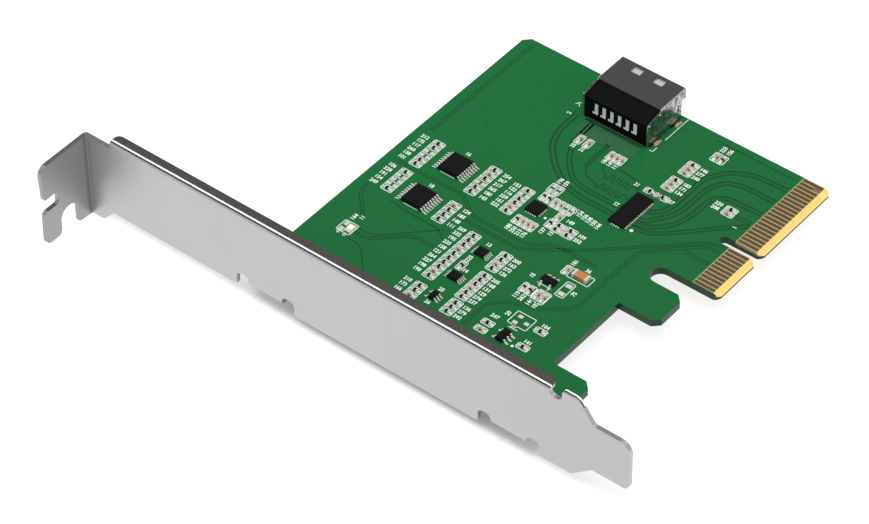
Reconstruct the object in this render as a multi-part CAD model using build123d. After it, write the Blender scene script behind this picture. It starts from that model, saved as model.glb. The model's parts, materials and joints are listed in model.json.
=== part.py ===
from build123d import *
import os

# Interface card, millimetres. While it is drawn, X runs from the outer face of the bracket along the
# card edge, Y runs up the height of the card from the contact edge, and Z is the component side,
# with the board's component face at zero. At the end everything moves so that the origin is in the
# middle of the underside of the whole card.

# Circuit board
board_thickness = 1.57
board_height = 68.9
bracket_clearance = 0.44
corner_tab_length = 14.85
corner_tab_rise = 4.3
recess_length = 18.75
recess_depth = 12.75
hook_length = 8.0
hook_rise = 4.5
edge_slot_width = 4.0
edge_slot_depth = 13.0
key_width = 1.9
key_depth = 8.4
board_corner_cut = 1.3
contact_corner_cut = 0.7
bevel_height = 1.25
bevel_depth = 0.5
slot_rounding = 0.49

# Edge contacts
contact_pitch = 1.0
contact_width = 0.72
contact_plating = 0.05
contact_top = 5.6
contact_foot = 0.25
near_contacts = 11
far_contacts = 21
contact_margin = 0.2
short_contact_trim = 1.6

# Bracket, folded from one sheet
sheet = 0.86
bend_radius = 0.85
inner_bend = 0.24
bracket_width = 18.42
bracket_lip = 1.07
bracket_reach = 105.1
flange_depth = 2.5
flange_drop = 0.96
flange_start = 1.5
flange_gap = 5.7
flange_corner = 1.2
neck_height = 18.7
neck_drop = 2.9
neck_length = 2.8
neck_slope = 2.6
neck_corner = 0.6
hump_end = 1.2
hump_length = 3.4
hump_radius = 2.2
hump_edge = 0.6
relief_depth = 2.5
relief_corner = 1.1
relief_mouth = 0.3
foot_drop = 15.35
foot_root = 7.7
foot_width = 10.5
foot_offset = 3.75
foot_slope_start = 3.3
foot_slope_corner = 1.0
foot_crook = 1.2
foot_tip_low_corner = 1.3
foot_tip_high_corner = 2.2

# Screw tab at the top of the bracket
tab_length = 11.95
tab_corner = 1.8
screw_slot_width = 4.42
screw_slot_centre = 5.66
screw_slot_depth = 5.9
guide_notch_width = 2.9
guide_notch_depth = 3.8
guide_notch_height = 7.6
guide_notch_slant = 0.4
guide_notch_corner = 0.4
guide_finger_corner = 1.0
slot_lip = 0.6
slot_lip_corner = 1.2
slot_far_lip = 0.3

# Board tabs folded under the board, with their screws
board_tab_width = 7.6
board_tab_reach = 8.8
board_tab_low = 9.9
board_tab_from_top = 5.05
board_tab_relief = 2.8
board_tab_relief_depth = 3.05
board_tab_corner = 1.5
screw_inset = 4.0
screw_diameter = 3.0
screw_clearance = 0.15
tapped_clearance = 0.05
screw_head_diameter = 5.5
screw_head_height = 2.0
screw_head_crown = 0.8
screw_length = 5.0
screw_point = 0.4
cross_width = 0.8
cross_length = 3.0
cross_depth = 1.1

# Cable receptacle at the far edge of the board
receptacle_centre = 39.93
receptacle_width = 14.7
receptacle_height = 6.45
receptacle_depth = 11.6
receptacle_overhang = 0.45
shell_sheet = 0.3
shell_length = 7.65
shell_fit = 0.04
shell_standoff = 0.1
shell_corner = 0.45
mouth_step_depth = 1.3
mouth_step_height = 4.3
shell_low_corner = 0.3
shell_inner_corner = 0.1
window_length = 1.45
window_width = 2.0
window_spread = 5.0
window_inset = 0.95
side_slot_inset = 2.2
side_slot_length = 0.8
side_slot_height = 1.4
leg_length = 1.6
leg_depth = 1.9
leg_rear_inset = 1.45
leg_front_inset = 3.45
leg_clearance = 0.2
mouth_recess = 2.8
shroud_width = 12.0
shroud_height = 3.6
card_slot_width = 10.8
card_slot_height = 1.3
card_slot_depth = 3.6
slot_back = 0.4
housing_lap = 0.3
rear_height = 5.2
rear_edge = 0.25
rear_foot = 0.5
receptacle_contact_count = 21
spring_pitch = 0.5
tail_pitch = 0.6
receptacle_contact_width = 0.26
receptacle_contact_thickness = 0.15
spring_front_gap = 0.3
spring_crest = 0.9
spring_rise = 0.35
tail_reach = 0.75
tail_toe = 0.5
tail_step = 0.5
tail_slant = 0.1
tail_notch_margin = 0.04
rear_posts = 6
rear_post_pitch = 1.75
rear_post_width = 0.75
rear_post_height = 2.3
rear_post_base = 1.9
rear_post_depth = 0.9
rear_pocket_margin = 0.1

# Chips with gull-wing leads: length, width, height over the board, reach of the leads from the middle
chip_standoff = 0.12
chip_draft = 0.12
lead_thickness = 0.15
lead_flat = 0.05
lead_slant = 0.12
wide_chip_length = 5.0
wide_chip_width = 4.4
wide_chip_height = 1.0
wide_chip_reach = 3.2
wide_chip_lead_count = 8
wide_chip_pitch = 0.65
wide_chip_lead = 0.28
small_chip_length = 2.0
small_chip_width = 2.3
small_chip_height = 0.75
small_chip_reach = 1.6
small_chip_lead_count = 4
small_chip_pitch = 0.5
small_chip_lead = 0.22
regulator_length = 2.9
regulator_width = 1.6
regulator_height = 0.9
regulator_reach = 1.4
regulator_pitch = 0.95
regulator_lead = 0.4
regulator_far_count = 2
regulator_near_count = 3
little_regulator_length = 2.0
little_regulator_width = 1.25
little_regulator_height = 0.8
little_regulator_reach = 1.15
little_regulator_pitch = 0.68
little_regulator_lead = 0.28

# Leadless chips, with contact pads under the rim
leadless_height = 0.6
rim_pad_pitch = 0.5
rim_pad_width = 0.25
rim_pad_height = 0.1
rim_pad_length = 0.35
rim_pad_show = 0.12
square_chip_side = 2.9
square_chip_pad_count = 5
long_chip_length = 9.0
long_chip_width = 3.5
long_chip_length_count = 17
long_chip_width_count = 4

# Chip resistors and capacitors
passive_length = 1.05
passive_width = 0.52
end_cap = 0.26
resistor_height = 0.36
capacitor_height = 0.5
end_cap_step = 0.02
large_capacitor_length = 3.2
large_capacitor_width = 1.6
large_capacitor_height = 0.8
large_capacitor_cap = 0.5
lamp_length = 2.0
lamp_width = 1.2
lamp_base_height = 0.3
lamp_lens_height = 0.35
lamp_lens_length = 1.3
lamp_lens_edge = 0.1

# Layout grid of the component side: this many cells along the board and up it
layout_columns = 80
layout_rows = 69

# Places in that grid
upper_chip_place = (43.3, 56.8)
lower_chip_place = (32.7, 56.8)
long_chip_place = (53.45, 25.0)
square_chip_place = (43.5, 38.65)
small_chip_places = [(28.5, 39.15), (20.9, 39.15)]
far_regulator_place = (30.05, 25.4)
near_regulator_place = (14.5, 23.35)
little_regulator_place = (14.8, 39.0)
large_capacitor_place = (34.45, 21.65)
lamp_place = (19.0, 61.3)

# Rows of chip resistors (R), chip capacitors (C) and empty pads (a dash): first place, pitch, kinds.
# Rows along the board have parts that stand up the board.
rows_along = [
    ((39.6, 63.1), 1.33, "RR--RR"),
    ((31.4, 63.0), 1.33, "R---R"),
    ((40.0, 50.7), 1.41, "RR-RCR"),
    ((30.8, 50.7), 1.49, "RRRC"),
    ((40.0, 42.6), 1.28, "RCRR-R"),
    ((18.5, 43.0), 1.41, "RCRRRRCRRR"),
    ((26.7, 35.4), 1.33, "RCRR"),
    ((17.9, 35.2), 1.31, "RRCRRR"),
    ((13.4, 35.0), 1.32, "RRR"),
    ((12.7, 42.6), 1.39, "CRR"),
    ((13.6, 27.6), 1.98, "CR"),
    ((19.5, 19.1), 1.0, "R"),
    ((14.6, 19.2), 1.0, "R"),
    ((41.5, 32.7), 1.18, "RR"),
    ((41.5, 30.2), 1.31, "RR"),
    ((67.7, 23.4), 1.29, "CCR"),
    ((62.6, 23.5), 1.28, "CCR"),
    ((63.7, 11.1), 1.23, "CR"),
]
# Rows up the board have parts that lie along the board.
rows_up = [
    ((47.1, 38.4), 1.15, "RR"),
    ((49.8, 38.4), 1.3, "--"),
    ((46.9, 33.4), 1.2, "--CC"),
    ((44.3, 34.1), 1.0, "C"),
    ((42.2, 34.4), 1.0, "R"),
    ((39.4, 36.3), 1.15, "CCCR"),
    ((24.0, 40.1), 1.0, "R"),
    ((26.45, 26.8), 1.24, "RR"),
    ((26.35, 23.75), 1.35, "CC"),
    ((34.5, 24.8), 1.0, "C"),
    ((63.2, 41.8), 1.91, "CC"),
    ((63.1, 34.3), 1.17, "CCC"),
    ((74.6, 20.1), 1.4, "RC"),
]
# Row up the board whose parts follow each other end to end.
end_to_end_row = ((59.9, 22.6), 1.39, "R-R")

# Values that follow from those above
board_left = sheet + bracket_clearance
corner_tab_right = board_left + corner_tab_length
hook_left = corner_tab_right + recess_length
hook_right = hook_left + hook_length
near_left = hook_right + edge_slot_width
near_right = near_left + near_contacts * contact_pitch + contact_margin
far_left = near_right + key_width
board_right = far_left + far_contacts * contact_pitch + contact_margin
board_under = -board_thickness
tab_under = board_under - sheet
bracket_low = tab_under - bracket_lip
bracket_top = bracket_low + bracket_width
flange_top = bracket_top - flange_drop
neck_low = bracket_low - neck_drop
neck_top = neck_low + neck_height
flange_end = bracket_reach - flange_gap
neck_start = bracket_reach - neck_length
board_tab_high = board_height - board_tab_from_top
screw_x = board_left + screw_inset
receptacle_front = board_right + receptacle_overhang
receptacle_rear = receptacle_front - receptacle_depth
shell_rear = receptacle_front - shell_length


def cell(column, row):
    """Place of a layout cell on the component face."""
    x = board_left + column * (board_right - board_left) / layout_columns
    y = row * board_height / layout_rows
    return (x, y)


def block(x0, x1, y0, y1, z0, z1):
    """Box between two corners."""
    size = (abs(x1 - x0), abs(y1 - y0), abs(z1 - z0))
    return Pos((x0 + x1) / 2, (y0 + y1) / 2, (z0 + z1) / 2) * Box(*size)


def outline(corners):
    """Flat face through corners (u, v, radius), with each corner that has a radius rounded."""
    points = [(u, v) for u, v, radius in corners]
    face = make_face(Polyline(*points, close=True))
    for u, v, radius in corners:
        if radius > 0:
            corner = face.vertices().sort_by_distance((u, v, 0))[0]
            face = fillet([corner], radius)
    return face


def upright_plate(corners, x0, thickness):
    """Plate across X from an outline in (y, z)."""
    return extrude(Plane((x0, 0, 0), x_dir=(0, 1, 0), z_dir=(1, 0, 0)) * outline(corners), thickness)


def cross_plate(corners, y0, thickness):
    """Plate across Y from an outline in (x, z)."""
    return extrude(Plane((0, y0, 0), x_dir=(1, 0, 0), z_dir=(0, -1, 0)) * outline(corners), -thickness)


def flat_plate(corners, z0, thickness):
    """Plate across Z from an outline in (x, y)."""
    return extrude(Pos(0, 0, z0) * outline(corners), thickness)


def edge_along(solid, axis, near):
    """Edge parallel to an axis that lies nearest to a point."""
    return solid.edges().filter_by(axis).sort_by_distance(near)[0]


def board_tabs():
    """Heights of the two tabs along the card."""
    return (board_tab_low, board_tab_high)


def leg_places():
    """Corners of the receptacle where a shell leg goes through the board: (x, side)."""
    rear = receptacle_rear + leg_rear_inset
    front = receptacle_front - leg_front_inset
    return [(x, side) for x in (rear, front) for side in (-1, 1)]


def circuit_board():
    """Laminate with the corner tab, recess, hook, edge slot, key notch, bevel and holes."""
    slot_corner = edge_slot_width * slot_rounding
    key_corner = key_width * slot_rounding
    corners = [
        (board_left, corner_tab_rise, 0),
        (corner_tab_right - board_corner_cut, corner_tab_rise, 0),
        (corner_tab_right, corner_tab_rise + board_corner_cut, 0),
        (corner_tab_right, recess_depth, 0),
        (hook_left, recess_depth, 0),
        (hook_left, hook_rise + board_corner_cut, 0),
        (hook_left + board_corner_cut, hook_rise, 0),
        (hook_right - board_corner_cut, hook_rise, 0),
        (hook_right, hook_rise + board_corner_cut, 0),
        (hook_right, edge_slot_depth, slot_corner),
        (near_left, edge_slot_depth, slot_corner),
        (near_left, contact_corner_cut, 0),
        (near_left + contact_corner_cut, 0, 0),
        (near_right - contact_corner_cut, 0, 0),
        (near_right, contact_corner_cut, 0),
        (near_right, key_depth, key_corner),
        (far_left, key_depth, key_corner),
        (far_left, contact_corner_cut, 0),
        (far_left + contact_corner_cut, 0, 0),
        (board_right - contact_corner_cut, 0, 0),
        (board_right, contact_corner_cut, 0),
        (board_right, board_height - board_corner_cut, 0),
        (board_right - board_corner_cut, board_height, 0),
        (board_left, board_height, 0),
    ]
    board = flat_plate(corners, board_under, board_thickness)
    for face, inward in ((0, -1), (board_under, 1)):
        wedge = [(0, face, 0), (bevel_height, face, 0), (0, face + inward * bevel_depth, 0)]
        board -= upright_plate(wedge, near_left, board_right - near_left)
    for y in board_tabs():
        hole = Cylinder(screw_diameter / 2 + screw_clearance, board_thickness)
        board -= Pos(screw_x, y, board_under / 2) * hole
    for x, side in leg_places():
        y = receptacle_centre + side * (receptacle_width - shell_sheet) / 2
        half_x = leg_length / 2 + leg_clearance
        half_y = shell_sheet / 2 + leg_clearance
        board -= block(x - half_x, x + half_x, y - half_y, y + half_y, board_under, 0)
    return board


def short_contact(x):
    """The one contact of the component side that stops above the bevel."""
    low = bevel_height + short_contact_trim
    half = contact_width / 2
    return block(x - half, x + half, low, contact_top, 0, contact_plating)


def contact_strip(x, side):
    """One plated contact that follows the flat and the bevel, on the component or solder side."""
    slope = bevel_depth / bevel_height
    foot = bevel_depth - slope * contact_foot
    skin = contact_plating
    profile = [
        (contact_top, 0, 0),
        (bevel_height, 0, 0),
        (contact_foot, -foot, 0),
        (contact_foot, -foot + skin, 0),
        (bevel_height, skin, 0),
        (contact_top, skin, 0),
    ]
    strip = upright_plate(profile, x - contact_width / 2, contact_width)
    if side > 0:
        return strip
    return Pos(0, 0, board_under) * mirror(strip, Plane.XY)


def edge_contacts(side):
    """All contacts of one side of the board."""
    first_near = near_left + (contact_margin + contact_pitch) / 2
    first_far = far_left + (contact_margin + contact_pitch) / 2
    places = [first_near + i * contact_pitch for i in range(near_contacts)]
    places += [first_far + i * contact_pitch for i in range(far_contacts)]
    strips = [contact_strip(x, side) for x in places]
    if side > 0:
        strips[-2] = short_contact(places[-2])
    return strips


def bracket_face():
    """Face of the bracket with its foot, hump, neck and the reliefs beside the folds."""
    foot_low = bracket_low + foot_offset
    foot_top = foot_low + foot_width
    relief_floor = bracket_top - relief_depth
    hump_start = hump_end + hump_length
    corners = [
        (bracket_reach + sheet, neck_low, 0),
        (neck_start, neck_low, neck_corner),
        (neck_start - neck_slope, bracket_low, neck_corner),
    ]
    for middle in (board_tab_high, board_tab_low):
        high = middle + board_tab_width / 2
        low = middle - board_tab_width / 2
        roof = bracket_low + board_tab_relief_depth
        corners += [
            (high + board_tab_relief, bracket_low, relief_mouth),
            (high + board_tab_relief, roof, relief_corner),
            (high, roof, relief_corner),
            (high, tab_under, 0),
            (low, tab_under, 0),
            (low, roof, relief_corner),
            (low - board_tab_relief, roof, relief_corner),
            (low - board_tab_relief, bracket_low, relief_mouth),
        ]
    corners += [
        (-foot_slope_start, bracket_low, foot_slope_corner),
        (-foot_root, foot_low, foot_slope_corner),
        (-foot_drop, foot_low, foot_tip_low_corner),
        (-foot_drop, foot_top, foot_tip_high_corner),
        (-foot_root, foot_top, foot_crook),
        (-hump_start, bracket_top, hump_radius),
        (-hump_end, bracket_top, hump_edge),
        (-hump_end, relief_floor, relief_corner),
        (flange_start, relief_floor, relief_corner),
        (flange_start, flange_top, 0),
        (flange_end, flange_top, 0),
        (flange_end, neck_top, 0),
        (bracket_reach + sheet, neck_top, 0),
    ]
    return upright_plate(corners, 0, sheet)


def stiffening_flange():
    """Long flange folded back over the component side, with rounded free corners."""
    corners = [
        (0, flange_start, 0),
        (flange_depth, flange_start, flange_corner),
        (flange_depth, flange_end, flange_corner),
        (0, flange_end, 0),
    ]
    return flat_plate(corners, flange_top - sheet, sheet)


def screw_tab():
    """Tab folded outwards at the top, with the screw slot and the guide notch."""
    outer = -tab_length
    corner = guide_notch_corner
    notch_top = neck_top - guide_notch_height
    notch_low = notch_top - guide_notch_width
    slot_left = -screw_slot_centre - screw_slot_width / 2
    slot_right = -screw_slot_centre + screw_slot_width / 2
    slot_roof = neck_low + screw_slot_depth
    slot_radius = screw_slot_width * slot_rounding
    corners = [
        (sheet, neck_top, 0),
        (outer, neck_top, tab_corner),
        (outer + guide_notch_slant, notch_top, corner),
        (outer + guide_notch_depth, notch_top, corner),
        (outer + guide_notch_depth, notch_low, corner),
        (outer + guide_notch_slant / 2, notch_low, guide_finger_corner),
        (outer, neck_low + slot_lip, slot_lip_corner),
        (slot_left, neck_low + slot_lip, slot_lip_corner),
        (slot_left, slot_roof, slot_radius),
        (slot_right, slot_roof, slot_radius),
        (slot_right, neck_low + slot_far_lip, slot_far_lip),
        (0, neck_low, 0),
        (sheet, neck_low, 0),
    ]
    return cross_plate(corners, bracket_reach, sheet)


def board_tab(y):
    """Tab folded under the board, with its tapped hole."""
    half = board_tab_width / 2
    reach = board_left + board_tab_reach
    corners = [
        (0, y - half, 0),
        (reach, y - half, board_tab_corner),
        (reach, y + half, board_tab_corner),
        (0, y + half, 0),
    ]
    tab = flat_plate(corners, tab_under, sheet)
    hole = Cylinder(screw_diameter / 2 + tapped_clearance, sheet)
    return tab - Pos(screw_x, y, tab_under + sheet / 2) * hole


def bracket():
    """One folded sheet: face, flange, screw tab and board tabs, with every bend rounded."""
    folded = bracket_face() + stiffening_flange() + screw_tab()
    for y in board_tabs():
        folded += board_tab(y)
    flange_middle = (flange_start + flange_end) / 2
    neck_middle = (neck_low + neck_top) / 2
    folds = [
        (Axis.Y, (0, flange_middle, flange_top), (sheet, flange_middle, flange_top - sheet)),
        (Axis.Z, (sheet, bracket_reach + sheet, neck_middle), (0, bracket_reach, neck_middle)),
    ]
    folds += [(Axis.Y, (0, y, tab_under), (sheet, y, board_under)) for y in board_tabs()]
    folded = fillet([edge_along(folded, axis, outside) for axis, outside, inside in folds], bend_radius)
    return fillet([edge_along(folded, axis, inside) for axis, outside, inside in folds], inner_bend)


def bracket_screw(y):
    """Pan-head machine screw from the component side into the tab."""
    head = Pos(screw_x, y, screw_head_height / 2) * Cylinder(screw_head_diameter / 2, screw_head_height)
    head = chamfer(head.edges().sort_by(Axis.Z)[-1:], screw_head_crown)
    shank = Pos(screw_x, y, -screw_length / 2) * Cylinder(screw_diameter / 2, screw_length)
    shank = chamfer(shank.edges().sort_by(Axis.Z)[:1], screw_point)
    screw = head + shank
    for turn in (0, 90):
        bar = Box(cross_length, cross_width, cross_depth)
        screw -= Pos(screw_x, y, screw_head_height - cross_depth / 2) * Rot(0, 0, turn) * bar
    return screw


def receptacle_side(side, inset=0.0):
    """Y of one side of the receptacle, moved in by an inset."""
    return receptacle_centre + side * (receptacle_width / 2 - inset)


def receptacle_shell():
    """Folded sheet shell with side plates to the rear, latch windows, side slots and four solder legs."""
    outer = [
        (receptacle_side(-1), shell_standoff, shell_low_corner),
        (receptacle_side(1), shell_standoff, shell_low_corner),
        (receptacle_side(1), receptacle_height, shell_corner),
        (receptacle_side(-1), receptacle_height, shell_corner),
    ]
    inner = [
        (receptacle_side(-1, shell_sheet), shell_standoff + shell_sheet, shell_inner_corner),
        (receptacle_side(1, shell_sheet), shell_standoff + shell_sheet, shell_inner_corner),
        (receptacle_side(1, shell_sheet), receptacle_height - shell_sheet, shell_corner - shell_sheet),
        (receptacle_side(-1, shell_sheet), receptacle_height - shell_sheet, shell_corner - shell_sheet),
    ]
    shell = upright_plate(outer, shell_rear, shell_length)
    shell -= upright_plate(inner, shell_rear, shell_length)
    shell -= block(
        receptacle_front - mouth_step_depth,
        receptacle_front,
        receptacle_side(-1),
        receptacle_side(1),
        shell_standoff,
        mouth_step_height,
    )
    side_plate = [
        (receptacle_rear, shell_standoff, 0),
        (shell_rear + shell_sheet, shell_standoff, 0),
        (shell_rear + shell_sheet, receptacle_height - shell_corner, 0),
        (shell_rear, receptacle_height - shell_corner, 0),
        (receptacle_rear, rear_height, 0),
    ]
    window_front = receptacle_front - window_inset
    for side in (-1, 1):
        y = receptacle_centre + side * window_spread / 2
        shell -= block(
            window_front - window_length,
            window_front,
            y - window_width / 2,
            y + window_width / 2,
            receptacle_height - shell_sheet,
            receptacle_height,
        )
        slot_low = receptacle_height / 2 - side_slot_height / 2
        plate_low = min(receptacle_side(side), receptacle_side(side, shell_sheet))
        shell += cross_plate(side_plate, plate_low, shell_sheet)
        shell -= block(
            receptacle_front - side_slot_inset - side_slot_length,
            receptacle_front - side_slot_inset,
            receptacle_side(side),
            receptacle_side(side, shell_sheet),
            slot_low,
            slot_low + side_slot_height,
        )
    for x, side in leg_places():
        shell += block(
            x - leg_length / 2,
            x + leg_length / 2,
            receptacle_side(side),
            receptacle_side(side, shell_sheet),
            -leg_depth,
            receptacle_height / 2,
        )
    return shell


def contact_rows(pitch):
    """Y of each receptacle contact at a pitch."""
    first = receptacle_centre - (receptacle_contact_count - 1) * pitch / 2
    return [first + i * pitch for i in range(receptacle_contact_count)]


def card_slot_middle():
    """Height of the middle of the slot that takes the plug's card."""
    return (shell_standoff + receptacle_height) / 2


def receptacle_housing():
    """Moulded body: slanted rear, block inside the shell and the shroud round the card slot."""
    inset = shell_sheet + shell_fit
    low = shell_standoff + inset
    high = receptacle_height - inset
    front = receptacle_front - mouth_recess
    rear_profile = [
        (receptacle_rear, shell_standoff, 0),
        (shell_rear, shell_standoff, 0),
        (shell_rear, high, 0),
        (receptacle_rear, rear_height, rear_edge),
    ]
    width = receptacle_width - 2 * inset
    housing = cross_plate(rear_profile, receptacle_centre - width / 2, width)
    for y in contact_rows(tail_pitch):
        half = receptacle_contact_width / 2 + tail_notch_margin
        housing -= block(
            receptacle_rear,
            receptacle_rear + 2 * tail_step,
            y - half,
            y + half,
            shell_standoff,
            rear_foot,
        )
    slot_floor = front - card_slot_depth
    corner = shell_corner - shell_sheet
    inner_block = [
        (receptacle_side(-1, inset), low, shell_inner_corner),
        (receptacle_side(1, inset), low, shell_inner_corner),
        (receptacle_side(1, inset), high, corner),
        (receptacle_side(-1, inset), high, corner),
    ]
    block_rear = shell_rear - housing_lap
    housing += upright_plate(inner_block, block_rear, slot_floor - slot_back - block_rear)
    middle = card_slot_middle()
    housing += block(
        slot_floor - slot_back - housing_lap,
        front,
        receptacle_centre - shroud_width / 2,
        receptacle_centre + shroud_width / 2,
        middle - shroud_height / 2,
        middle + shroud_height / 2,
    )
    housing -= block(
        slot_floor,
        front,
        receptacle_centre - card_slot_width / 2,
        receptacle_centre + card_slot_width / 2,
        middle - card_slot_height / 2,
        middle + card_slot_height / 2,
    )
    for y in rear_post_rows():
        half = rear_post_width / 2 + rear_pocket_margin
        housing -= block(
            receptacle_rear,
            receptacle_rear + rear_post_depth,
            y - half,
            y + half,
            rear_post_base - rear_pocket_margin,
            rear_post_base + rear_post_height + rear_pocket_margin,
        )
    return housing


def rear_post_rows():
    """Y of each post in the rear of the receptacle."""
    first = receptacle_centre - (rear_posts - 1) * rear_post_pitch / 2
    return [first + i * rear_post_pitch for i in range(rear_posts)]


def receptacle_posts():
    """Upright metal posts in the pockets of the rear face."""
    posts = []
    for y in rear_post_rows():
        half = rear_post_width / 2
        posts.append(
            block(
                receptacle_rear + rear_pocket_margin,
                receptacle_rear + rear_post_depth,
                y - half,
                y + half,
                rear_post_base,
                rear_post_base + rear_post_height,
            )
        )
    return posts


def receptacle_springs(side):
    """Contact springs along the roof or the floor of the card slot."""
    front = receptacle_front - mouth_recess - spring_front_gap
    rear = receptacle_front - mouth_recess - card_slot_depth
    wall = card_slot_middle() + side * card_slot_height / 2
    springs = []
    for y in contact_rows(spring_pitch):
        half = receptacle_contact_width / 2
        profile = [
            (rear, wall, 0),
            (rear, wall - side * receptacle_contact_thickness, 0),
            (front - spring_crest, wall - side * spring_rise, 0),
            (front, wall - side * receptacle_contact_thickness, 0),
            (front, wall, 0),
        ]
        springs.append(cross_plate(profile, y - half, 2 * half))
    return springs


def receptacle_tails():
    """Solder tails that come out under the rear of the housing and bend flat on the board."""
    tails = []
    toe = receptacle_rear - tail_reach
    heel = toe + tail_toe
    crest = receptacle_rear + tail_step
    root = crest + tail_step
    thickness = receptacle_contact_thickness
    for y in contact_rows(tail_pitch):
        half = receptacle_contact_width / 2
        profile = [
            (toe, 0, 0),
            (heel, 0, 0),
            (crest, rear_foot - thickness, 0),
            (root, rear_foot - thickness, 0),
            (root, rear_foot, 0),
            (crest - tail_slant, rear_foot, 0),
            (heel - tail_slant, thickness, 0),
            (toe, thickness, 0),
        ]
        tails.append(cross_plate(profile, y - half, 2 * half))
    return tails


def parting_line(height):
    """Height of a chip's parting line, where its leads come out."""
    return (chip_standoff + height) / 2


def chip_body(place, length, width, height, turn=0):
    """Moulded chip body with a draft above and below its parting line."""
    x, y = cell(*place)
    waist = parting_line(height)
    widest = Pos(0, 0, waist) * Rectangle(length, width)
    drafted = Rectangle(length - 2 * chip_draft, width - 2 * chip_draft)
    lower = loft([Pos(0, 0, chip_standoff) * drafted, widest])
    upper = loft([widest, Pos(0, 0, height) * drafted])
    return Pos(x, y, 0) * Rot(0, 0, turn) * (lower + upper)


def gull_lead(height, reach, lead_width, root):
    """One gull-wing lead that leaves the body at its waist and ends flat on the board."""
    half = lead_thickness / 2
    waist = parting_line(height)
    heel = (root + reach) / 2
    knee = heel - lead_slant
    profile = [
        (root, waist - half, 0),
        (knee - lead_flat, waist - half, 0),
        (heel - lead_flat, 0, 0),
        (reach, 0, 0),
        (reach, lead_thickness, 0),
        (heel + lead_flat, lead_thickness, 0),
        (knee + lead_flat, waist + half, 0),
        (root, waist + half, 0),
    ]
    return upright_plate(profile, -lead_width / 2, lead_width)


def lead_offsets(count, span):
    """Places of the leads of one side, spread evenly over a span."""
    return [span * (i / (count - 1) - 0.5) for i in range(count)]


def chip_leads(place, counts, pitch, lead, turn=0):
    """Leads on both long sides of a chip; counts gives how many on the far and on the near side."""
    x, y = cell(*place)
    span = pitch * (max(counts) - 1)
    leads = []
    for count, flip in zip(counts, (0, 180)):
        for offset in lead_offsets(count, span):
            leads.append(Pos(x, y, 0) * Rot(0, 0, turn + flip) * Pos(offset, 0, 0) * lead)
    return leads


def wide_chip(place):
    """Body and leads of a chip with eight leads a side."""
    body = chip_body(place, wide_chip_length, wide_chip_width, wide_chip_height)
    lead = gull_lead(wide_chip_height, wide_chip_reach, wide_chip_lead, wide_chip_width / 2)
    counts = (wide_chip_lead_count, wide_chip_lead_count)
    return body, chip_leads(place, counts, wide_chip_pitch, lead)


def small_chip(place):
    """Body and leads of a small chip with four leads a side."""
    body = chip_body(place, small_chip_length, small_chip_width, small_chip_height)
    lead = gull_lead(small_chip_height, small_chip_reach, small_chip_lead, small_chip_width / 2)
    counts = (small_chip_lead_count, small_chip_lead_count)
    return body, chip_leads(place, counts, small_chip_pitch, lead)


def regulator(place, turn):
    """Body and leads of a regulator with two leads on one side and three on the other."""
    body = chip_body(place, regulator_length, regulator_width, regulator_height, turn)
    lead = gull_lead(regulator_height, regulator_reach, regulator_lead, regulator_width / 2)
    counts = (regulator_far_count, regulator_near_count)
    return body, chip_leads(place, counts, regulator_pitch, lead, turn)


def little_regulator(place):
    """Body and leads of the smaller regulator."""
    height = little_regulator_height
    body = chip_body(place, little_regulator_length, little_regulator_width, height)
    lead = gull_lead(height, little_regulator_reach, little_regulator_lead, little_regulator_width / 2)
    counts = (regulator_far_count, regulator_near_count)
    return body, chip_leads(place, counts, little_regulator_pitch, lead)


def leadless_chip(place, length, width, length_count, width_count):
    """Body and rim pads of a leadless chip; the counts are pads along its length and its width."""
    x, y = cell(*place)
    middle = Pos(x, y, 0)
    body = middle * block(-length / 2, length / 2, -width / 2, width / 2, rim_pad_height, leadless_height)
    pads = []
    for turn, out, count in ((0, width, length_count), (90, length, width_count)):
        span = (count - 1) * rim_pad_pitch
        for flip in (0, 180):
            for offset in lead_offsets(count, span):
                pad = block(
                    offset - rim_pad_width / 2,
                    offset + rim_pad_width / 2,
                    out / 2 - rim_pad_length,
                    out / 2 + rim_pad_show,
                    0,
                    rim_pad_height,
                )
                pads.append(middle * Rot(0, 0, turn + flip) * pad)
    return body, pads


def row_places(rows, wanted, step_x, step_y, turn):
    """Places of the parts of one kind in rows that step in one direction: (x, y, turn)."""
    places = []
    for start, pitch, kinds in rows:
        x, y = cell(*start)
        for i, kind in enumerate(kinds):
            if kind == wanted:
                places.append((x + i * pitch * step_x, y + i * pitch * step_y, turn))
    return places


def passive_places(wanted):
    """Places of all parts of one kind: (x, y, turn)."""
    places = row_places(rows_along, wanted, 1, 0, 90)
    places += row_places(rows_up, wanted, 0, 1, 0)
    places += row_places([end_to_end_row], wanted, 0, 1, 90)
    return places


def passive_parts(kind, height):
    """Bodies and plated ends of the chip resistors or capacitors."""
    bodies = []
    ends = []
    for x, y, turn in passive_places(kind):
        half = passive_length / 2
        side = passive_width / 2
        body = block(-half + end_cap, half - end_cap, -side, side, 0, height - end_cap_step)
        bodies.append(Pos(x, y, 0) * Rot(0, 0, turn) * body)
        for sign in (-1, 1):
            end = block(sign * half, sign * (half - end_cap), -side, side, 0, height)
            ends.append(Pos(x, y, 0) * Rot(0, 0, turn) * end)
    return bodies, ends


def large_capacitor():
    """Body and two plated ends of the large chip capacitor."""
    x, y = cell(*large_capacitor_place)
    half = large_capacitor_length / 2
    side = large_capacitor_width / 2
    top = large_capacitor_height
    inner = half - large_capacitor_cap
    body = block(x - side, x + side, y - inner, y + inner, 0, top)
    ends = [block(x - side, x + side, y + s * half, y + s * inner, 0, top) for s in (-1, 1)]
    return body, ends


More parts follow.
